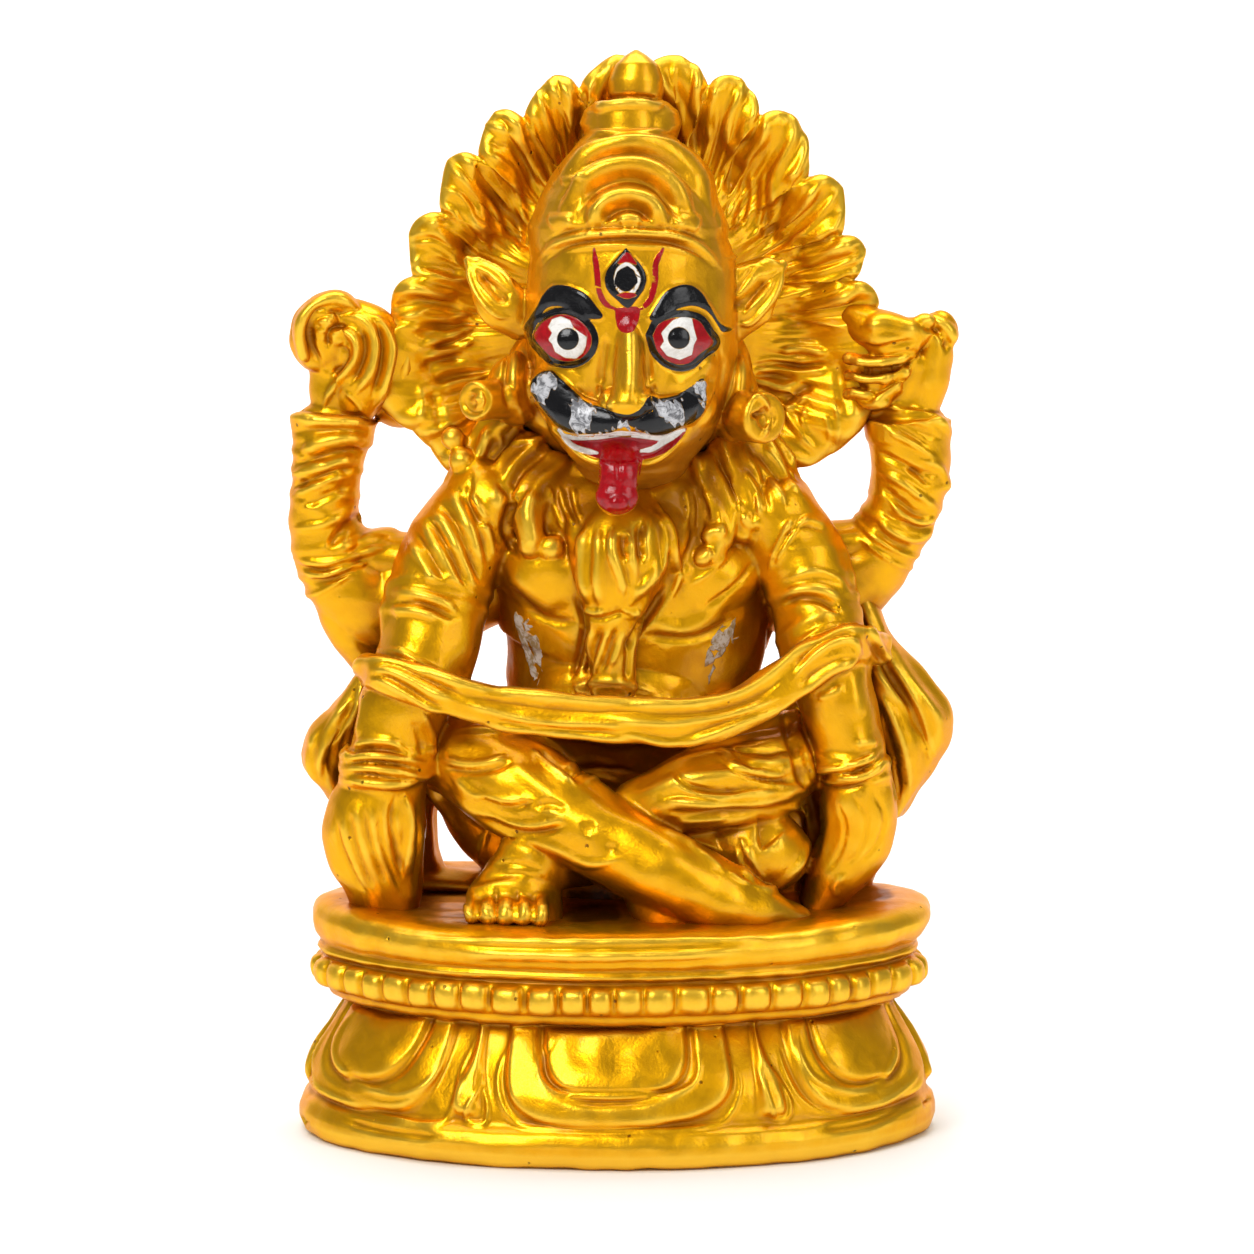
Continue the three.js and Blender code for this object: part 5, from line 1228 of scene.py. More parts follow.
REAR_STROKES = [
    # the disc and the curled ribbon in the left hand
    (1.1, 0.8, (328, 375), (307, 360), (301, 343), (302, 321), (314, 304), (336, 298), (355, 306),
     (365, 315)),
    (0.7, -0.9, (323, 367), (312, 347), (310, 328), (316, 313), (329, 306)),
    (1.4, 0.7, (323, 329), (327, 321), (333, 313)),
    (0.5, 0.4, (316, 315), (325, 313), (336, 317)),
    (0.5, 0.4, (314, 323), (325, 321), (333, 327)),
    (0.5, 0.4, (316, 332), (325, 331), (331, 334)),
    (0.9, 1.1, (332, 345), (334, 334), (344, 331), (355, 339), (357, 354), (349, 369), (333, 388),
     (323, 408)),
    (0.7, -1.0, (328, 349), (330, 332), (338, 327), (349, 327)),
    (0.7, -0.9, (341, 345), (346, 352), (342, 365), (331, 375)),
    (1.0, 0.9, (339, 316), (357, 317), (372, 330), (376, 349), (370, 373), (355, 395)),
    (1.0, 0.9, (364, 313), (383, 326), (392, 345), (390, 367), (381, 397), (373, 412)),
    (1.0, 0.8, (388, 321), (403, 334), (408, 354), (405, 378), (392, 408)),
    (0.8, -1.1, (359, 327), (365, 343), (362, 362), (351, 384)),
    (0.8, -1.2, (375, 321), (383, 341), (382, 367), (372, 397)),
    (0.8, -1.1, (394, 330), (400, 349), (396, 375), (385, 404)),
    (0.9, -0.8, (414, 334), (418, 356), (414, 380), (403, 410)),
    (0.6, 0.4, (346, 391), (355, 401), (364, 414)),
    # the cuff and the sleeve
    ("fold", 2.4, 0.9, (290, 412), (318, 414), (351, 418), (373, 421)),
    (1.0, -0.7, (294, 432), (325, 430), (359, 430), (372, 434)),
    (1.3, 0.9, (299, 453), (318, 444), (349, 438), (368, 442)),
    (0.9, -0.9, (297, 464), (323, 456), (353, 451), (366, 453)),
    (1.2, 0.8, (292, 475), (316, 469), (344, 461), (359, 462)),
    (0.9, -0.9, (292, 488), (314, 480), (340, 471), (357, 471)),
    (1.2, 0.8, (293, 497), (312, 486), (333, 477), (349, 478)),
    (1.0, -0.7, (303, 506), (329, 495), (351, 486)),
    (1.0, 0.5, (291, 529), (312, 527), (333, 521), (359, 503)),
    (1.1, -1.0, (327, 551), (338, 536), (355, 521), (366, 511)),
    (1.2, 0.8, (333, 554), (359, 542), (388, 529), (407, 525)),
    (1.0, 0.8, (293, 557), (316, 563), (336, 562), (362, 553), (388, 546)),
    (0.6, -0.5, (299, 566), (323, 570), (340, 565), (364, 559)),
    (0.8, 0.6, (301, 572), (323, 575), (340, 571), (362, 562)),
    (0.7, -0.5, (303, 580), (323, 581), (344, 575), (366, 566)),
    # the ribbed conch in the right hand
    (1.6, 0.9, (863, 327), (887, 322), (908, 327), (921, 332)),
    (0.9, -0.8, (854, 343), (874, 349), (895, 345), (919, 340)),
    (1.0, 0.9, (848, 359), (865, 363), (891, 361), (913, 354)),
    (1.0, 0.9, (846, 374), (865, 379), (882, 379), (895, 372)),
    (1.0, 0.8, (847, 390), (865, 395), (876, 392)),
    (0.8, -1.0, (847, 367), (865, 371), (887, 370), (904, 363)),
    (0.8, -1.0, (844, 382), (865, 387), (885, 384)),
    (0.8, -0.8, (848, 399), (865, 401), (876, 398)),
    (0.6, 0.6, (921, 341), (913, 360), (904, 378), (887, 393), (861, 408)),
    (1.1, 0.8, (911, 319), (934, 320), (950, 330), (952, 347)),
    (0.8, -0.8, (921, 327), (937, 330), (945, 341), (946, 352)),
    (0.5, 0.4, (939, 330), (943, 336), (944, 345)),
    # the right cuff and sleeve
    (0.9, 0.8, (863, 411), (885, 404), (904, 411), (926, 414), (944, 424), (952, 440)),
    (1.2, -0.7, (872, 419), (891, 419), (917, 430), (939, 438)),
    (0.8, 0.5, (887, 430), (906, 440), (926, 453), (941, 462)),
    (0.7, -0.6, (882, 419), (904, 432), (930, 445)),
    (0.8, -0.7, (878, 451), (902, 464), (921, 473), (939, 475)),
    (1.0, 0.7, (878, 471), (898, 480), (921, 497), (939, 510)),
    (0.7, -0.8, (906, 468), (919, 476), (931, 485)),
    (0.8, 0.6, (921, 460), (939, 467), (947, 482), (947, 497)),
    (1.0, -0.8, (882, 486), (898, 501), (917, 514), (934, 515)),
    (0.8, 0.6, (876, 519), (898, 535), (919, 540), (934, 529)),
    (0.7, -0.6, (880, 510), (902, 523), (924, 529), (937, 521)),
    (0.8, 0.6, (889, 501), (906, 516), (924, 523), (939, 517)),
    (0.8, -0.6, (874, 527), (893, 542), (915, 551)),
]


def raised_arms():
    """Two wide sleeves bent up at the elbows, with their cuffs and wrists."""
    return [
        drawn(
            (480, 570, 6, 8, 7), (425, 592, 7, 8.6, 7), (377, 600, 7, 7.4, 6.5), (343, 570, 6.5, 6, 6),
            (325, 525, 5.5, 5, 5.4), (327, 472, 5, 4.9, 5.2), (332, 432, 4.5, 5.6, 5.4), sides=48,
            steps=160,
            relief=rings_on(
                (0.5, 0.016, 0.07, 0), (0.545, 0.016, 0.06, 0), (0.62, 0.02, 0.04, 0),
                (0.72, 0.024, 0.04, -0.04), (0.8, 0.024, 0.05, -0.035), (0.88, 0.024, 0.05, -0.025),
            ),
        ),
        drawn((332, 442, 4.5, 5.7, 5.4), (334, 419, 4.5, 6.2, 5.8), dome=0.12, steps=8),
        drawn((334, 425, 4.5, 3.2, 3.2), (336, 395, 4.5, 3.6, 3.4), (340, 365, 4.5, 4.4, 3.8)),
        drawn((344, 552, 6, 3.6, 4.6), (385, 556, 6.5, 3.8, 5), (430, 566, 6, 4, 5)),
        drawn((338, 590, 7, 4, 4.4), (352, 628, 7, 3.8, 4.4), (370, 664, 6, 2.4, 3)),
        drawn(
            (782, 575, 6, 8, 7), (824, 586, 7, 7.6, 7), (856, 572, 7, 6.4, 6.2),
            (881, 545, 6.5, 5.4, 5.8), (901, 510, 5.5, 5.2, 5.4), (910, 470, 5, 5.6, 5.4),
            (908, 432, 4.5, 5.9, 5.6), sides=48, steps=160,
            relief=rings_on(
                (0.5, 0.016, 0.06, 0), (0.55, 0.016, 0.06, 0), (0.66, 0.03, 0.05, 0.05),
                (0.75, 0.024, 0.03, 0.05),
            ),
        ),
        drawn((907, 440, 4.5, 5.9, 5.6), (907, 420, 4.5, 6.3, 5.9), dome=0.12, steps=8),
        drawn((800, 548, 6, 3.8, 5), (850, 546, 6.5, 3.8, 5), (896, 540, 6, 4, 5)),
        drawn((904, 425, 4.5, 4.2, 3.6), (905, 395, 4, 3.6, 3.4), (918, 362, 3, 3, 3)),
    ]


def disc_hand():
    """The left hand with a disc, the ribbon curled round it and the fingers behind."""
    return [
        ball(spot(326, 334, 3.5), [5, 4.2, 5.6], [0, 14, 0]),
        drawn(
            (304, 352, 1.4, 1, 1.8), (303, 328, 0.4, 1.5, 2.2), (318, 306, 0.2, 1.6, 2.2),
            (344, 303, 1, 1.5, 2), (364, 322, 2.4, 1.1, 1.8), sides=20,
        ),
        ball(spot(324, 326, 0.6), [2.6, 2, 3]),
        ball(spot(338, 338, 0.4), [1.3, 1.4, 1.3]),
        drawn(
            (340, 314, 3, 3, 3), (366, 336, 2.6, 4.6, 4), (368, 372, 2.6, 4.6, 4), (350, 412, 4, 3, 3),
        ),
        drawn((372, 325, 4, 3, 3.4), (388, 352, 4, 3.6, 4), (382, 392, 4.6, 3, 3.4)),
        drawn((400, 340, 6, 3.4, 4), (404, 372, 6, 4, 4), (400, 405, 6.5, 4.2, 4)),
    ]


def conch_hand():
    """The right hand with a ribbed conch, and the strut behind it."""
    middle = np.array([spot(850, 358, 2), spot(875, 364, 0.6), spot(908, 352, 0.6)])
    lower = np.array([[0, 0.3, -2.5], [0, 0.3, -2.5], [-0.7, 0.3, -2.5]])
    ribs = [limb(middle + lower * i, [[1, 2], [1.25, 2.2], [1, 1.7]], sides=20) for i in range(3)]
    return [
        drawn(
            (856, 318, 3, 2.6, 3), (878, 332, 0.8, 3.2, 3.4), (905, 336, 0.5, 2.6, 3),
            (925, 328, 1.2, 1.6, 2.2),
        ),
        ball(spot(941, 331, 2.4), [2.3, 2.4, 2.8]),
        drawn((936, 336, 2.5, 2.2, 2.8), (932, 368, 3, 2.8, 3.2), (916, 408, 4, 3.2, 3.4)),
        drawn((868, 345, 6, 6, 4), (874, 370, 6, 6, 4.4), (882, 400, 6, 5, 4)),
        *ribs,
    ]


def rear_arms():
    piece = gather("rear_arms", raised_arms() + disc_hand() + conch_hand())
    one_skin(piece, grain=0.27, soften=3)
    surface = Surface(piece)
    work_up(surface, REAR_STROKES, uneven=0.12, seed=5, share=0.7)
    mark_hollows(surface)
    thin_to(piece, 190000)
    return piece


# the mane

RIM = np.array([
    # valleys and tips: direction in degrees from +X, distance from the centre
    (-90, 28), (-60, 30), (-47, 33.6), (-40, 35.6), (-31, 36.9), (-23, 36.9), (-9.8, 32.3), (-3, 33.9),
    (3, 30.3), (10, 32.6), (15.3, 29.5), (26.5, 32.3), (33.5, 28.4), (46.9, 32.6), (54.9, 29.7),
    (63.6, 33), (70.6, 29.9), (79.2, 33.3), (87.4, 30.6), (95.1, 32.9), (105.9, 29.1), (111.1, 32),
    (123.1, 28.7), (128.5, 31.8), (139.5, 28.8), (145.3, 31.9), (157.9, 29.3), (166, 32.7), (176.2, 31),
    (185, 34.5), (188, 34.6), (203, 39.5), (211.7, 37), (217, 36), (223.3, 36.4), (236, 31),
    (270.1, 28),
])

MANE_STROKES = [
    # valleys between the locks
    (1.7, -1.5, (579, 86), (585, 105), (579, 143), (574, 158)),
    (1.7, -1.5, (523, 115), (538, 139), (550, 166), (558, 190)),
    (1.7, -1.5, (476, 156), (493, 188), (511, 218), (521, 249)),
    (1.7, -1.4, (439, 211), (459, 238), (475, 257)),
    (1.5, -1.3, (412, 267), (436, 265), (465, 277)),
    # ridges of the locks, from their tips inwards
    (1.1, 0.9, (614, 57), (602, 85), (595, 113)),
    (0.8, 0.6, (606, 65), (592, 85), (588, 103)),
    (1.1, 0.9, (547, 79), (562, 103), (572, 119), (576, 135)),
    (0.8, 0.7, (536, 87), (544, 113), (556, 139), (564, 162)),
    (0.8, 0.6, (558, 77), (570, 99), (578, 115)),
    (1.2, 1.0, (481, 123), (511, 133), (527, 149), (538, 170), (552, 192)),
    (0.9, 0.8, (527, 115), (536, 137), (546, 158), (556, 184)),
    (0.8, 0.6, (495, 113), (515, 123), (531, 141)),
    (0.9, 0.7, (485, 151), (511, 170), (519, 198), (527, 228)),
    (0.9, -0.7, (487, 141), (511, 149), (527, 170), (534, 194)),
    (1.2, 1.0, (449, 164), (467, 184), (479, 202), (483, 230), (489, 253)),
    (0.9, 0.8, (479, 156), (493, 184), (505, 204), (513, 228), (517, 251)),
    (0.7, 0.6, (465, 164), (479, 188), (495, 210), (503, 238)),
    (0.8, 0.6, (440, 188), (459, 196), (473, 218), (475, 241)),
    (1.0, -0.7, (444, 198), (459, 210), (467, 228)),
    (1.1, 1.0, (411, 236), (434, 232), (455, 247), (465, 261)),
    (0.8, 0.7, (422, 225), (442, 224), (465, 239), (475, 255)),
    (0.7, 0.5, (412, 245), (436, 243), (453, 255), (461, 273)),
    (1.2, 0.9, (402, 285), (430, 291), (461, 296)),
    (0.9, 0.7, (400, 317), (436, 309), (475, 317)),
    (0.9, -0.7, (404, 299), (436, 301), (465, 307)),
    (1.7, -1.5, (708, 85), (701, 109), (697, 131), (697, 158)),
    (1.7, -1.5, (760, 113), (750, 139), (736, 162), (729, 198)),
    (1.7, -1.5, (802, 176), (786, 194), (772, 218), (766, 243)),
    (1.6, -1.4, (840, 234), (814, 245), (790, 249)),
    (1.5, -1.3, (857, 277), (827, 285), (798, 291)),
    (1.1, 0.9, (653, 63), (665, 87), (679, 111), (685, 139), (695, 162)),
    (0.9, 0.8, (693, 58), (698, 79), (694, 107), (697, 127)),
    (0.7, 0.6, (675, 62), (673, 87), (677, 105)),
    (1.1, 0.9, (746, 79), (738, 99), (729, 119), (729, 143), (736, 158)),
    (0.9, 0.8, (752, 83), (756, 107), (752, 127), (738, 147)),
    (0.8, 0.6, (719, 83), (711, 103), (705, 123), (711, 143)),
    (1.2, 0.9, (768, 117), (758, 143), (746, 156), (736, 170)),
    (1.1, 1.0, (792, 115), (794, 133), (784, 158), (774, 178), (773, 208), (768, 241)),
    (0.9, 0.8, (804, 127), (805, 151), (798, 170), (784, 188)),
    (1.0, 0.8, (736, 166), (736, 190), (731, 218), (727, 238)),
    (0.6, 0.5, (750, 170), (752, 198), (746, 228)),
    (0.6, 0.5, (764, 170), (762, 198), (758, 234)),
    (1.1, 1.0, (819, 186), (806, 204), (790, 222), (774, 243)),
    (0.8, 0.7, (839, 192), (825, 210), (806, 230), (786, 247)),
    (0.7, 0.6, (844, 210), (833, 230), (810, 241)),
    (1.1, 0.9, (857, 242), (827, 252), (794, 257)),
    (0.9, 0.8, (867, 255), (837, 267), (806, 275), (786, 275)),
    (0.8, 0.6, (861, 247), (831, 259), (798, 265)),
    (1.0, 0.8, (857, 294), (831, 305), (798, 312)),
    (0.7, 0.6, (847, 285), (821, 295), (794, 299)),
    # the lower tufts on the left
    (1.0, 0.9, (421, 345), (445, 337), (475, 326)),
    (1.0, 0.9, (423, 358), (453, 349), (475, 339)),
    (0.9, -0.8, (432, 347), (453, 344), (475, 332)),
    (1.1, 0.9, (430, 373), (453, 367), (488, 367)),
    (1.1, 0.9, (440, 388), (460, 382), (486, 375)),
    (1.0, -0.9, (421, 367), (436, 362), (464, 358)),
    (1.0, -0.8, (432, 382), (458, 375), (488, 371)),
    (0.9, 0.6, (397, 293), (419, 291), (451, 300)),
    (0.9, 0.7, (393, 319), (419, 317), (467, 323)),
    (0.9, -0.6, (388, 308), (419, 304), (464, 313)),
    (1.2, -0.8, (414, 334), (427, 332), (475, 322)),
    (0.8, 0.5, (419, 384), (423, 401), (419, 423)),
    (1.0, -0.6, (432, 388), (438, 410), (440, 432)),
    # the lower tufts on the right
    (1.0, 0.8, (780, 310), (821, 304), (860, 291)),
    (0.9, 0.7, (772, 302), (813, 293), (852, 282)),
    (0.9, 0.8, (778, 352), (802, 348), (828, 355)),
    (0.6, 0.5, (769, 345), (793, 341), (821, 345)),
    (1.0, 0.8, (748, 372), (772, 368), (798, 372), (830, 368)),
    (0.8, 0.7, (754, 361), (782, 359), (813, 361)),
    (0.8, -0.7, (750, 366), (776, 363), (804, 367), (830, 362)),
    (0.9, 0.7, (747, 382), (765, 383), (787, 388), (802, 378)),
    (0.8, -0.7, (752, 377), (774, 375), (798, 378)),
    (0.9, -0.8, (756, 393), (787, 395), (804, 386)),
    (0.9, 0.7, (813, 391), (787, 410), (800, 432), (815, 451)),
    (0.5, 0.4, (824, 412), (830, 436), (824, 453)),
    (0.5, 0.4, (808, 406), (802, 419), (811, 438)),
    (0.5, 0.4, (834, 401), (839, 427), (834, 449)),
    (1.1, -0.9, (782, 405), (798, 393), (813, 384)),
    (1.2, -0.7, (839, 362), (841, 393), (850, 419)),
]


def lock_phase(turn):
    """Where a direction lies within its lock: valleys are whole numbers, tips are halves."""
    return np.interp(turn, RIM[:, 0], np.arange(len(RIM)) / 2)


def mane_radius(turn):
    """How far the halo of locks reaches in each direction."""
    k = np.clip(np.searchsorted(RIM[:, 0], turn, side="right"), 1, len(RIM) - 1)
    before, after = RIM[k - 1], RIM[k]
    reach = (turn - before[:, 0]) / (after[:, 0] - before[:, 0])
    rising = before[:, 1] < after[:, 1]
    low = np.where(rising, before[:, 1], after[:, 1])
    high = np.where(rising, after[:, 1], before[:, 1])
    climb = np.where(rising, reach, 1 - reach)
    # a lock is round on its upper side and straighter on its lower side
    upper = rising == (turn > 90)
    roundness = np.where(upper, 0.9, 0.35)
    return low + (high - low) * (roundness * np.sqrt(1 - (1 - climb) ** 2) + (1 - roundness) * climb)


def mane_rings():
    """Rings of points from the middle of the mane's front over its rim to its back."""
    columns, front, back = 960, 84, 44
    turn = -90 + np.arange(columns) / columns * 360
    radius = mane_radius(turn)
    outward, inward = np.linspace(0.3, 1, front), 1 - np.arange(1, back + 1) / back * 0.9
    share = np.concatenate([outward, inward])[:, None]
    is_front = (np.arange(front + back) < front)[:, None]
    # on their way out the locks sweep up on both sides
    curving = lambda degrees: turn[None] - np.where(turn > 90, degrees, -degrees)[None] * (1 - share)
    phase = lock_phase(np.clip(curving(15), -90, 270))
    channel = 0.8 * (1 - np.abs(np.cos(phase * np.pi)) ** 1.6)
    flow = curving(26)
    hair = 0.13 * np.sin(1.1 * flow + 2 * np.sin(0.21 * flow))
    hair = hair + 0.07 * np.sin(2.3 * flow + 1.4 * np.sin(0.33 * flow + 3 * share))
    strand = 0.12 * np.cos(6 * np.pi * phase) + hair * bump((share - 0.62) / 0.42)
    swell, thinning = 3.2 * bump((share - 0.62) / 0.3), 6 * smooth((share - 0.88) / 0.24) ** 2
    before = -3.6 + swell + thinning + (channel + strand) * smooth((share - 0.42) / 0.25)
    carved = (0.8 * channel + 1.6 * strand) * smooth((share - 0.35) / 0.4)
    behind = 7.6 - 5.6 * smooth((share - 0.72) / 0.34) - carved
    depth = np.where(is_front, before, behind)
    angle = np.radians(turn)[None]
    x = MANE[0] + radius * share * np.cos(angle)
    return np.stack([x, MANE[1] + depth, MANE[2] + radius * share * np.sin(angle)], -1)


def mane():
    rings = mane_rings()
    poles = [np.tile(MANE + (0, y, 0), (rings.shape[1], 1)) for y in (-2, 8)]
    piece = gather("mane", [skin(np.stack([poles[0], *rings, poles[1]]))])
    surface = Surface(piece)
    work_up(surface, MANE_STROKES, uneven=0.12, seed=7, share=0.55, soften=1)
    mark_hollows(surface)
    thin_to(piece)
    return piece


# the head

def crown():
    """A dome of coils, the ring cushion on it and the bud on top."""
    x, _, z = spot(628, 226, -4)
    dome = [
        (0.01, -11), (10, -11), (12.6, -7), (13.6, -3.6), (13.9, 0), (12.4, 3.6), (10.6, 6.6),
        (8.6, 9.4), (6.8, 11.6), (5.2, 13.2), (4.6, 17), (0.01, 17),
    ]
    cushion = [(0.01, -3), (4.9, -2.9), (6.5, -1.8), (7.1, 0), (6.5, 1.7), (5, 2.7), (0.01, 3)]
    bud = [(0.01, -4), (3.1, -3.6), (3.8, -2), (3.8, 0), (3, 2.2), (1.6, 3.4), (0.4, 4.1), (0.01, 4.3)]
    return [
        turned(dome, [x, -3.4, z], squash=0.97),
        turned(cushion, spot(631, 123, -1.4), (0, -0.12, 1), 0.9),
        turned(bud, spot(636, 80, 0.5), (0, 0.05, 1), 0.9),
    ]


def ears():
    """Leaf-shaped ears, disc earrings and the hair behind them."""
    left = [(0.01, -4), (2.4, -4), (2.8, -3.4), (2.8, 2.6), (2.5, 3.2), (1.2, 3.2), (1, 2.7), (0.01, 2.7)]
    right = [(0.01, -3), (3.2, -3), (3.6, -2.2), (3.6, 2), (3.2, 2.5), (1.7, 2.5), (1.3, 1.9), (0.01, 1.7)]
    return [
        drawn(
            (522, 326, -4, 2.4, 2), (506, 308, -5.4, 3.6, 1.5), (490, 287, -5, 3, 1.2),
            (468, 260, -3.4, 0.7, 0.7),
        ),
        drawn(
            (728, 326, -4, 3, 2.2), (744, 300, -5.4, 4.6, 1.7), (762, 282, -5, 3.2, 1.3),
            (783, 264, -3.4, 0.8, 0.8),
        ),
        turned(left, spot(488, 400, -7), (-0.7, -0.71, 0)),
        turned(right, spot(755, 417, -7), (0.6, -0.8, 0)),
        ball(spot(733, 400, -3), [3.6, 4, 6]),
        ball(spot(515, 390, -3), [4, 4, 5]),
        ball(spot(630, 378, 1), [17.2, 9, 13]),
    ]


def face_forms():
    """The skull, cheeks, chin, eyes, nose, lips and the tongue that hangs out."""
    skull = [[*SKULL, z] for z in (94, 97.5, 103, 110, 115, 119, 123, 127)]
    girths = [
        [8, 10], [11, 12], [13.2, 12.8], [14.4, 13.2], [14.8, 13], [14.4, 13], [13.8, 12.8], [12, 11.4],
    ]
    return [
        limb(skull, girths, sides=48, dome=0.5),
        ball(spot(580, 395, -9), [6, 6, 6]),
        ball(spot(676, 395, -9), [6, 6, 6]),
        ball(spot(625, 440, -9), [8.4, 8, 5]),
        ball(spot(565, 340, -13.4), [4.4, 2.6, 3.4], [0, 0, -24]),
        ball(spot(681, 340, -13.4), [4.4, 2.6, 3.4], [0, 0, 24]),
        drawn((629, 318, -15.6, 1.9, 1.5), (629, 365, -17.2, 2, 2), (628, 405, -19.4, 2.5, 2.2)),
        ball(spot(612, 401, -17.4), [1.8, 1.7, 1.7]),
        ball(spot(645, 401, -17.4), [1.8, 1.7, 1.7]),
        drawn(
            (541, 386, -11.5, 1.9, 1.5), (578, 414, -16, 2.4, 1.9), (626, 422, -17.6, 1.9, 1.9),
            (662, 414, -16.2, 2.4, 1.9), (698, 393, -11.5, 1.9, 1.5),
        ),
        drawn(
            (556, 428, -11, 0.8, 0.9), (588, 452, -14.4, 1.3, 1.2), (622, 461, -15.6, 1.5, 1.3),
            (656, 452, -14.4, 1.3, 1.2), (687, 428, -11, 0.8, 0.9),
        ),
        drawn(
            (620, 448, -15.6, 3.2, 1.6), (619, 472, -18.2, 2.6, 1.4), (617, 497, -18, 2.8, 1.6),
            dome=0.4,
        ),
        ball(spot(617, 497, -18.2), [3, 1.9, 2.6]),
    ]


# outlines of the enamel on the face, as places in the photograph
BROWS = [
    [(603, 315), (587, 295), (574, 288), (563, 285), (552, 286), (543, 295), (536, 308), (524, 328),
     (526, 331), (540, 317), (547, 308), (557, 306), (574, 311), (587, 318), (595, 319), (602, 318)],
    [(649, 318), (656, 306), (667, 291), (680, 285), (693, 286), (702, 293), (710, 306), (721, 324),
     (733, 329), (723, 332), (717, 324), (708, 312), (695, 306), (680, 308), (665, 316), (652, 321)],
]
EYES = [
    [(530, 333), (541, 319), (559, 311), (576, 314), (589, 325), (595, 337), (593, 350), (583, 361),
     (567, 365), (550, 360), (539, 350), (531, 339)],
    [(649, 335), (656, 322), (671, 315), (689, 314), (702, 319), (711, 332), (717, 341), (715, 347),
     (704, 355), (691, 366), (678, 368), (663, 362), (654, 352)],
]
WHITES = [
    [(552, 319), (561, 316), (570, 320), (574, 328), (587, 337), (586, 346), (583, 353), (576, 359),
     (565, 358), (555, 352), (552, 344), (548, 340), (552, 333), (548, 327)],
    [(667, 326), (673, 320), (684, 316), (692, 318), (694, 328), (697, 339), (694, 345), (692, 355),
     (680, 360), (667, 356), (660, 347), (664, 341), (661, 333)],
]
PUPILS = [(568, 339, 11), (679, 338, 11)]  # middle and radius in pixels
THIRD_EYE = [
    (626, 248), (617, 258), (608, 269), (604.5, 279), (608, 291), (617, 300), (628, 308), (637, 299),
    (644, 289), (646.4, 279), (643, 268), (634, 257),
]
THIRD_WHITE = [
    (626, 261), (617, 268), (613, 280), (618, 291), (627, 297), (636, 291), (641, 280),
    (636, 268),
]
THIRD_PUPIL = [(626, 271), (619, 279), (626, 288), (634, 279)]
THIRD_RING = [(626, 270), (620, 275), (619, 282), (626, 288), (633, 282), (632, 274), (626, 270)]
THIRD_REDS = [
    [(616, 265), (627, 252), (637, 265), (627, 262)],
    [(616, 295), (627, 292), (637, 295), (627, 299)],
]
MOUSTACHE = [
    (532, 379), (541, 372), (553, 371), (559, 377), (569, 386), (587, 402), (604, 408), (621, 414),
    (632, 414), (641, 408), (650, 396), (660, 398), (676, 395), (689, 388), (703, 378), (706, 390),
    (705, 410), (695, 421), (680, 428), (665, 435), (652, 435), (639, 430), (625, 425), (613, 432),
    (593, 434), (572, 433), (559, 428), (545, 412), (535, 399), (530, 388),
]
GREYS = [
    [(533, 383), (538, 376), (550, 371), (558, 378), (556, 388), (550, 394), (543, 405), (537, 403),
     (531, 390)],
    [(570, 400), (582, 399), (595, 408), (594, 418), (588, 432), (575, 433), (567, 424), (571, 412)],
    [(652, 402), (665, 400), (682, 400), (684, 414), (688, 424), (672, 426), (661, 418), (656, 410)],
    [(690, 386), (702, 379), (706, 384), (706, 406), (702, 408), (699, 396)],
    [(624, 418), (632, 428), (650, 434), (624, 428), (594, 434), (614, 428)],
]
MOUTH = [
    (556, 428), (565, 434), (595, 436), (621, 433), (652, 436), (671, 433), (687, 428), (673, 447),
    (655, 457), (620, 461), (596, 458), (570, 446),
]
TEETH = [
    [(559, 430), (565, 436), (595, 437), (621, 434), (652, 437), (660, 438), (671, 434), (684, 430)],
    [(641, 451), (652, 449), (664, 442), (680, 433)],
    [(563, 437), (573, 446), (587, 451), (597, 453)],
]
TONGUE = [
    (600, 450), (640, 450), (641, 470), (638, 480), (639, 496), (634, 508), (618, 515), (602, 508),
    (595, 497), (598, 482), (599, 468),
]
FOREHEAD_MARK = [
    [(594, 249), (597, 272), (599, 291), (606, 304), (615, 309)],
    [(663, 249), (656, 263), (655, 282), (650, 300), (639, 311)],
]
FOREHEAD_DROP = [(615, 308), (639, 308), (638, 322), (633, 331), (627, 333), (620, 331), (616, 322)]


def on_face(at):
    """Whether points lie on the front of the head, before the ears."""
    return at[:, 1] < -6


class Enamels:
    """The colours on the face, laid one over another. Each holds how far inside its colour a
    point is, in mm."""

    def __init__(self, surface):
        self.surface = surface
        plain = np.full(len(surface.at), UNPAINTED)
        self.laid = {name: plain.copy() for name in ("white", "grey", "red", "black")}

    def lay(self, name, inside, found):
        for other, values in self.laid.items():
            if other == name:
                values[found] = np.maximum(values[found], inside)
            else:
                values[found] = np.minimum(values[found], -inside)

    def fill(self, name, outline, grow=0.0, curved=True, streaks=0.0):
        """Fills an outline, grown by grow mm, with streaks of the brush at its edge."""
        inside, found = self.surface.within(outline, on_face, curved)
        x, y = self.surface.px[found], self.surface.py[found]
        bristles = np.sin(0.8 * x - 0.25 * y + 2 * np.sin(0.21 * y))
        inside = inside + streaks * bristles * (0.6 + 0.4 * np.sin(0.5 * y + 0.3 * x))
        near = inside > UNPAINTED
        self.lay(name, (inside + grow)[near], found[near])

    def brush(self, name, line, half, ends=0.0):
        """Draws a line of one half width, thinner by the share ends at both ends."""
        found, gap, _, along = self.surface.near(finely(line), -UNPAINTED, on_face)
        wide = half * (1 - ends * (1 - smooth(along / 0.2) * smooth((1 - along) / 0.2)))
        near = gap < -UNPAINTED
        self.lay(name, (wide - gap)[near], found[near])


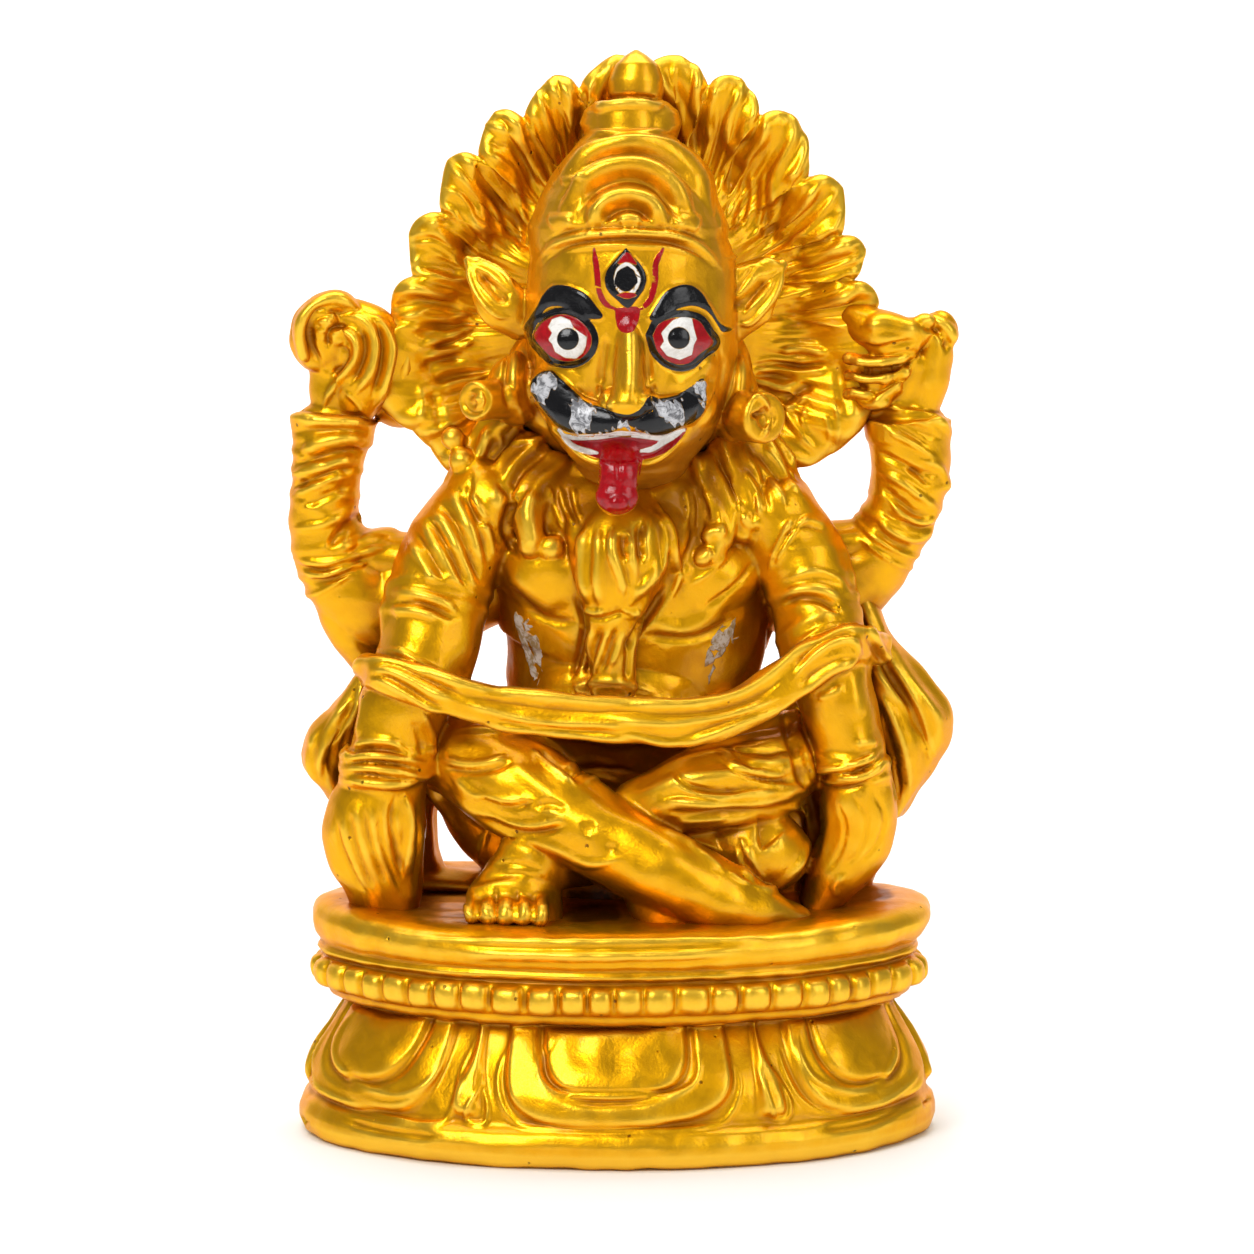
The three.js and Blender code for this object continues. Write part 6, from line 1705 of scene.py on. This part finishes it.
def paint_face(surface):
    """Lays the enamels on, in the order a painter would."""
    enamels = Enamels(surface)
    fill, brush = enamels.fill, enamels.brush
    for line in FOREHEAD_MARK:
        brush("red", line, 0.42, 0.5)
    fill("red", FOREHEAD_DROP)
    fill("black", THIRD_EYE)
    fill("white", THIRD_WHITE)
    brush("black", THIRD_RING, 0.55)
    fill("black", THIRD_PUPIL, 0.25)
    for outline in THIRD_REDS:
        fill("red", outline)
    for outline in BROWS:
        fill("black", outline)
    for outline, white, (px, py, size) in zip(EYES, WHITES, PUPILS):
        fill("red", outline)
        fill("white", white, curved=False)
        brush("black", [*outline, outline[0]], 0.48)
        turns = np.linspace(0, 2 * np.pi, 12, False)
        fill("black", [(px + size * math.cos(a), py + size * math.sin(a)) for a in turns])
    fill("red", MOUTH)
    fill("red", TONGUE)
    for line in TEETH:
        brush("white", line, 0.4, 0.4)
    fill("black", MOUSTACHE)
    for outline in GREYS:
        fill("grey", outline, -0.1, curved=False, streaks=0.45)
    for name, values in enamels.laid.items():
        keep(surface.piece, name, values)


HEAD_STROKES = [
    # coils of the crown
    (1.7, 1.3, (590, 232), (597, 212), (610, 200), (628, 196), (648, 201), (660, 214), (666, 228)),
    (1.7, 1.4, (562, 208), (576, 190), (590, 176), (610, 167), (634, 164), (658, 172), (676, 190),
     (694, 216)),
    (1.8, 1.4, (554, 184), (574, 166), (592, 152), (622, 143), (656, 143), (680, 156), (700, 178),
     (713, 212)),
    (1.2, -1.0, (602, 224), (610, 212), (626, 206), (642, 210), (652, 222)),
    (1.2, -1.0, (580, 210), (594, 190), (612, 181), (630, 178), (652, 184), (668, 200), (680, 222)),
    (0.8, -0.6, (560, 198), (580, 176), (600, 160), (624, 154), (656, 156), (680, 172), (700, 200)),
    (1.7, 0.8, (618, 224), (630, 220), (642, 224)),
    (1.4, 0.6, (546, 222), (560, 220), (576, 222)),
    (1.6, 0.5, (674, 228), (688, 222), (702, 226)),
    (0.8, 0.5, (560, 184), (575, 180), (590, 182)),
    (0.5, 0.3, (700, 168), (712, 190), (722, 232)),
    # cushion under the bud
    (0.8, -0.6, (584, 142), (606, 138), (632, 136), (660, 138), (680, 144)),
    (1.2, 0.5, (588, 112), (610, 104), (636, 102), (662, 106), (676, 114)),
    (0.6, -0.5, (596, 101), (620, 98), (645, 98), (664, 102)),
    (0.7, 0.4, (586, 130), (610, 134), (640, 134), (676, 130)),
    # headband
    (0.9, 0.7, (536, 262), (552, 246), (578, 237), (612, 233), (648, 233), (680, 237), (704, 250),
     (722, 268)),
    (0.6, 0.4, (548, 256), (572, 248), (604, 245), (640, 246), (672, 248), (700, 258)),
    (0.6, -0.5, (540, 268), (560, 251), (590, 242), (626, 240), (664, 242), (694, 251), (714, 268)),
    (0.7, -0.5, (545, 242), (566, 232), (600, 227), (650, 227), (684, 231), (708, 242)),
    # brow ridges, eyelids and bags
    (0.5, 0.3, (529, 334), (541, 318), (559, 310), (577, 313), (590, 324), (596, 337)),
    (0.5, 0.3, (649, 336), (656, 320), (671, 312), (690, 312), (704, 319), (713, 331)),
    (0.5, -0.3, (530, 337), (542, 351), (556, 362), (570, 367), (586, 362), (595, 350)),
    (0.5, -0.3, (650, 338), (655, 354), (664, 364), (678, 370), (692, 367), (706, 356), (716, 345)),
    # nose
    (1.5, 0.6, (630, 322), (631, 350), (631, 380), (629, 398)),
    (0.9, -0.5, (606, 334), (604, 352), (601, 372), (600, 388)),
    (0.9, -0.5, (645, 334), (648, 352), (649, 372), (650, 384)),
    (1.2, 0.6, (604, 392), (606, 402), (614, 408)),
    (1.2, 0.6, (648, 392), (646, 402), (640, 408)),
    (0.6, -0.4, (598, 384), (600, 394), (606, 402)),
    (0.6, -0.4, (654, 384), (652, 394), (648, 400)),
    # cheeks
    (2.2, 0.5, (545, 352), (552, 366), (566, 380), (584, 392)),
    (2.2, 0.5, (712, 352), (704, 366), (690, 378), (668, 390)),
    (0.8, -0.4, (534, 350), (531, 364), (528, 380), (530, 400), (540, 416), (552, 430)),
    (0.8, -0.4, (720, 350), (724, 364), (722, 380), (716, 400), (706, 414), (694, 428)),
    (1.2, 0.5, (520, 340), (514, 370), (516, 400), (526, 426)),
    (1.2, 0.5, (736, 340), (742, 370), (738, 400), (728, 424)),
    (0.6, -0.4, (508, 350), (504, 380), (508, 408)),
    (0.6, -0.4, (750, 350), (754, 378), (750, 400)),
    # lips and chin
    (0.6, 0.4, (556, 429), (572, 447), (594, 461), (608, 464)),
    (0.6, 0.4, (686, 429), (672, 448), (652, 461), (636, 464)),
    (0.5, 0.3, (560, 430), (590, 437), (621, 434), (652, 438), (684, 430)),
    # tongue
    (0.6, -0.3, (620, 456), (619, 470), (620, 484)),
    (1.5, 0.6, (610, 500), (618, 504), (628, 500)),
    # ears
    (0.5, 0.5, (467, 259), (484, 262), (502, 272), (516, 290)),
    (0.5, 0.5, (467, 262), (472, 284), (482, 302), (498, 316), (512, 318)),
    (1.1, -0.8, (478, 272), (488, 284), (500, 296), (508, 304)),
    (0.5, -0.4, (474, 268), (486, 278), (500, 288), (512, 296)),
    (0.6, 0.6, (725, 258), (748, 256), (768, 262), (784, 266)),
    (0.6, 0.6, (784, 268), (776, 292), (764, 310), (748, 324), (734, 322)),
    (1.3, -0.9, (770, 276), (757, 290), (744, 302), (734, 310)),
    (0.5, -0.4, (780, 270), (764, 286), (750, 302), (740, 318)),
    (0.5, -0.4, (756, 264), (744, 280), (734, 296)),
    # earring faces
    (0.6, -0.5, (467, 393), (475, 388), (484, 392), (488, 401), (484, 409), (475, 412), (467, 408),
     (464, 400), (467, 393)),
    (1.1, 0.4, (475, 396), (478, 402)),
    (0.5, 0.4, (748, 404), (754, 396), (762, 398), (768, 408), (769, 422), (764, 434), (757, 440)),
    (1.2, -0.8, (757, 412), (758, 418)),
]


def raise_features(surface):
    """Raises the brows, eyes and moustache from the face and sinks the mouth."""
    for outline in BROWS:
        surface.patch(outline, 0.55, 1.0, on_face)
    for outline in EYES:
        surface.patch(outline, 0.35, 0.8, on_face)
    surface.patch(THIRD_EYE, 0.4, 0.8, on_face)
    surface.patch(MOUSTACHE, 0.5, 1.2, on_face)
    surface.patch(MOUTH, -0.7, 1.0, on_face)
    for px, py, _ in PUPILS:
        surface.stroke([(px - 1, py), (px + 1, py)], 3.4, 0.7, ends=0, where=on_face)


def lion_head():
    piece = gather("lion_head", crown() + ears() + face_forms())
    one_skin(piece, grain=0.25, soften=3)
    surface = Surface(piece)
    raise_features(surface)
    work_up(surface, HEAD_STROKES, uneven=0.07, seed=9, soften=1)
    paint_face(surface)
    mark_hollows(surface, CHIN_SHADE)
    thin_to(piece)
    return piece


# the stage, in metres

def paper_sweep():
    """A white sweep of paper that rises behind the casting."""
    near, far, wall, half, radius = -1.5, 0.55, 2.2, 2.2, 0.45
    turns = np.linspace(0, math.pi / 2, 14)
    bend = [(far + radius * math.sin(a), radius * (1 - math.cos(a))) for a in turns]
    profile = [(near, 0), *bend, (far + radius, wall)]
    rows = len(profile)
    faces = [(rows + i, rows + i + 1, i + 1, i) for i in range(rows - 1)]
    mesh = bpy.data.meshes.new("floor")
    mesh.from_pydata([(x, y, z) for x in (-half, half) for y, z in profile], [], faces)
    mesh.shade_smooth()
    floor = bpy.data.objects.new("floor", mesh)
    bpy.context.collection.objects.link(floor)
    pale = bpy.data.materials.new("pale_floor")
    pale.use_nodes = True
    body = pale.node_tree.nodes["Principled BSDF"].inputs
    body["Base Color"].default_value = (0.95, 0.95, 0.95, 1)
    body["Roughness"].default_value = 0.7
    mesh.materials.append(pale)
    return floor


def softbox(name, place, size, glow, aim=(0, 0, 0.07)):
    """A flat lamp whose glow stays the same whatever its size."""
    bpy.ops.object.light_add(type="AREA", location=place)
    lamp = bpy.context.object
    lamp.name = name
    lamp.data.shape, lamp.data.size, lamp.data.size_y = "RECTANGLE", *size
    lamp.data.energy = glow * math.pi * size[0] * size[1]
    lamp.rotation_euler = (Vector(aim) - Vector(place)).to_track_quat("-Z", "Y").to_euler()
    return lamp.data


def stage():
    """White paper, soft lights round it, and the camera."""
    floor = paper_sweep()
    scene = bpy.context.scene
    scene.view_settings.view_transform = "Standard"
    world = scene.world = bpy.data.worlds.new("studio")
    world.use_nodes = True
    sky = world.node_tree.nodes["Background"].inputs
    sky["Color"].default_value = (1, 1, 1, 1)
    sky["Strength"].default_value = 0.24
    softbox("key", (-0.4, -0.72, 0.72), (0.46, 0.46), 9.0)
    softbox("fill", (0.65, -0.6, 0.45), (0.4, 0.7), 2.3)
    softbox("top", (0, 0.1, 0.9), (0.9, 0.5), 3.2)
    softbox("wash", (0, 0.4, 1.2), (2.2, 0.4), 3.2, (0, 0.9, 0.2)).spread = math.radians(110)
    film = 36  # width of the camera's sensor in mm
    bpy.ops.object.camera_add(location=EYE / 1000, rotation=(math.pi / 2 - DOWN, 0, 0))
    scene.camera = bpy.context.object
    camera = bpy.context.object.data
    camera.sensor_width = film
    camera.lens = film * FOCAL / PHOTO
    camera.clip_start = 0.05


stage()
brushed_gold = gold_group()
plain_gold = gold_paint("gold_paint", brushed_gold)
primer = ("rubbed", (0.30, 0.20, 0.09), (0.55, 0.49, 0.42))
rubbed_gold = gold_paint("rubbed_gold", brushed_gold, [primer])
face_gold = gold_paint("gold_and_enamel", brushed_gold, [
    ("white", (0.70, 0.67, 0.62), (0.84, 0.82, 0.78)),
    ("grey", (0.14, 0.14, 0.15), (0.58, 0.58, 0.60)),
    ("red", (0.30, 0.0005, 0.004), (0.40, 0.001, 0.006)),
    ("black", (0.002, 0.002, 0.003), (0.004, 0.004, 0.005)),
], edge_tint=(1, 1, 1))
paints = {"seated_body": rubbed_gold, "lion_head": face_gold}
pieces = [make() for make in (lotus_plinth, seated_body, rear_arms, mane, lion_head)]
shade_recesses(pieces)
for piece in pieces:
    hand_over(piece, paints.get(piece.name, plain_gold))
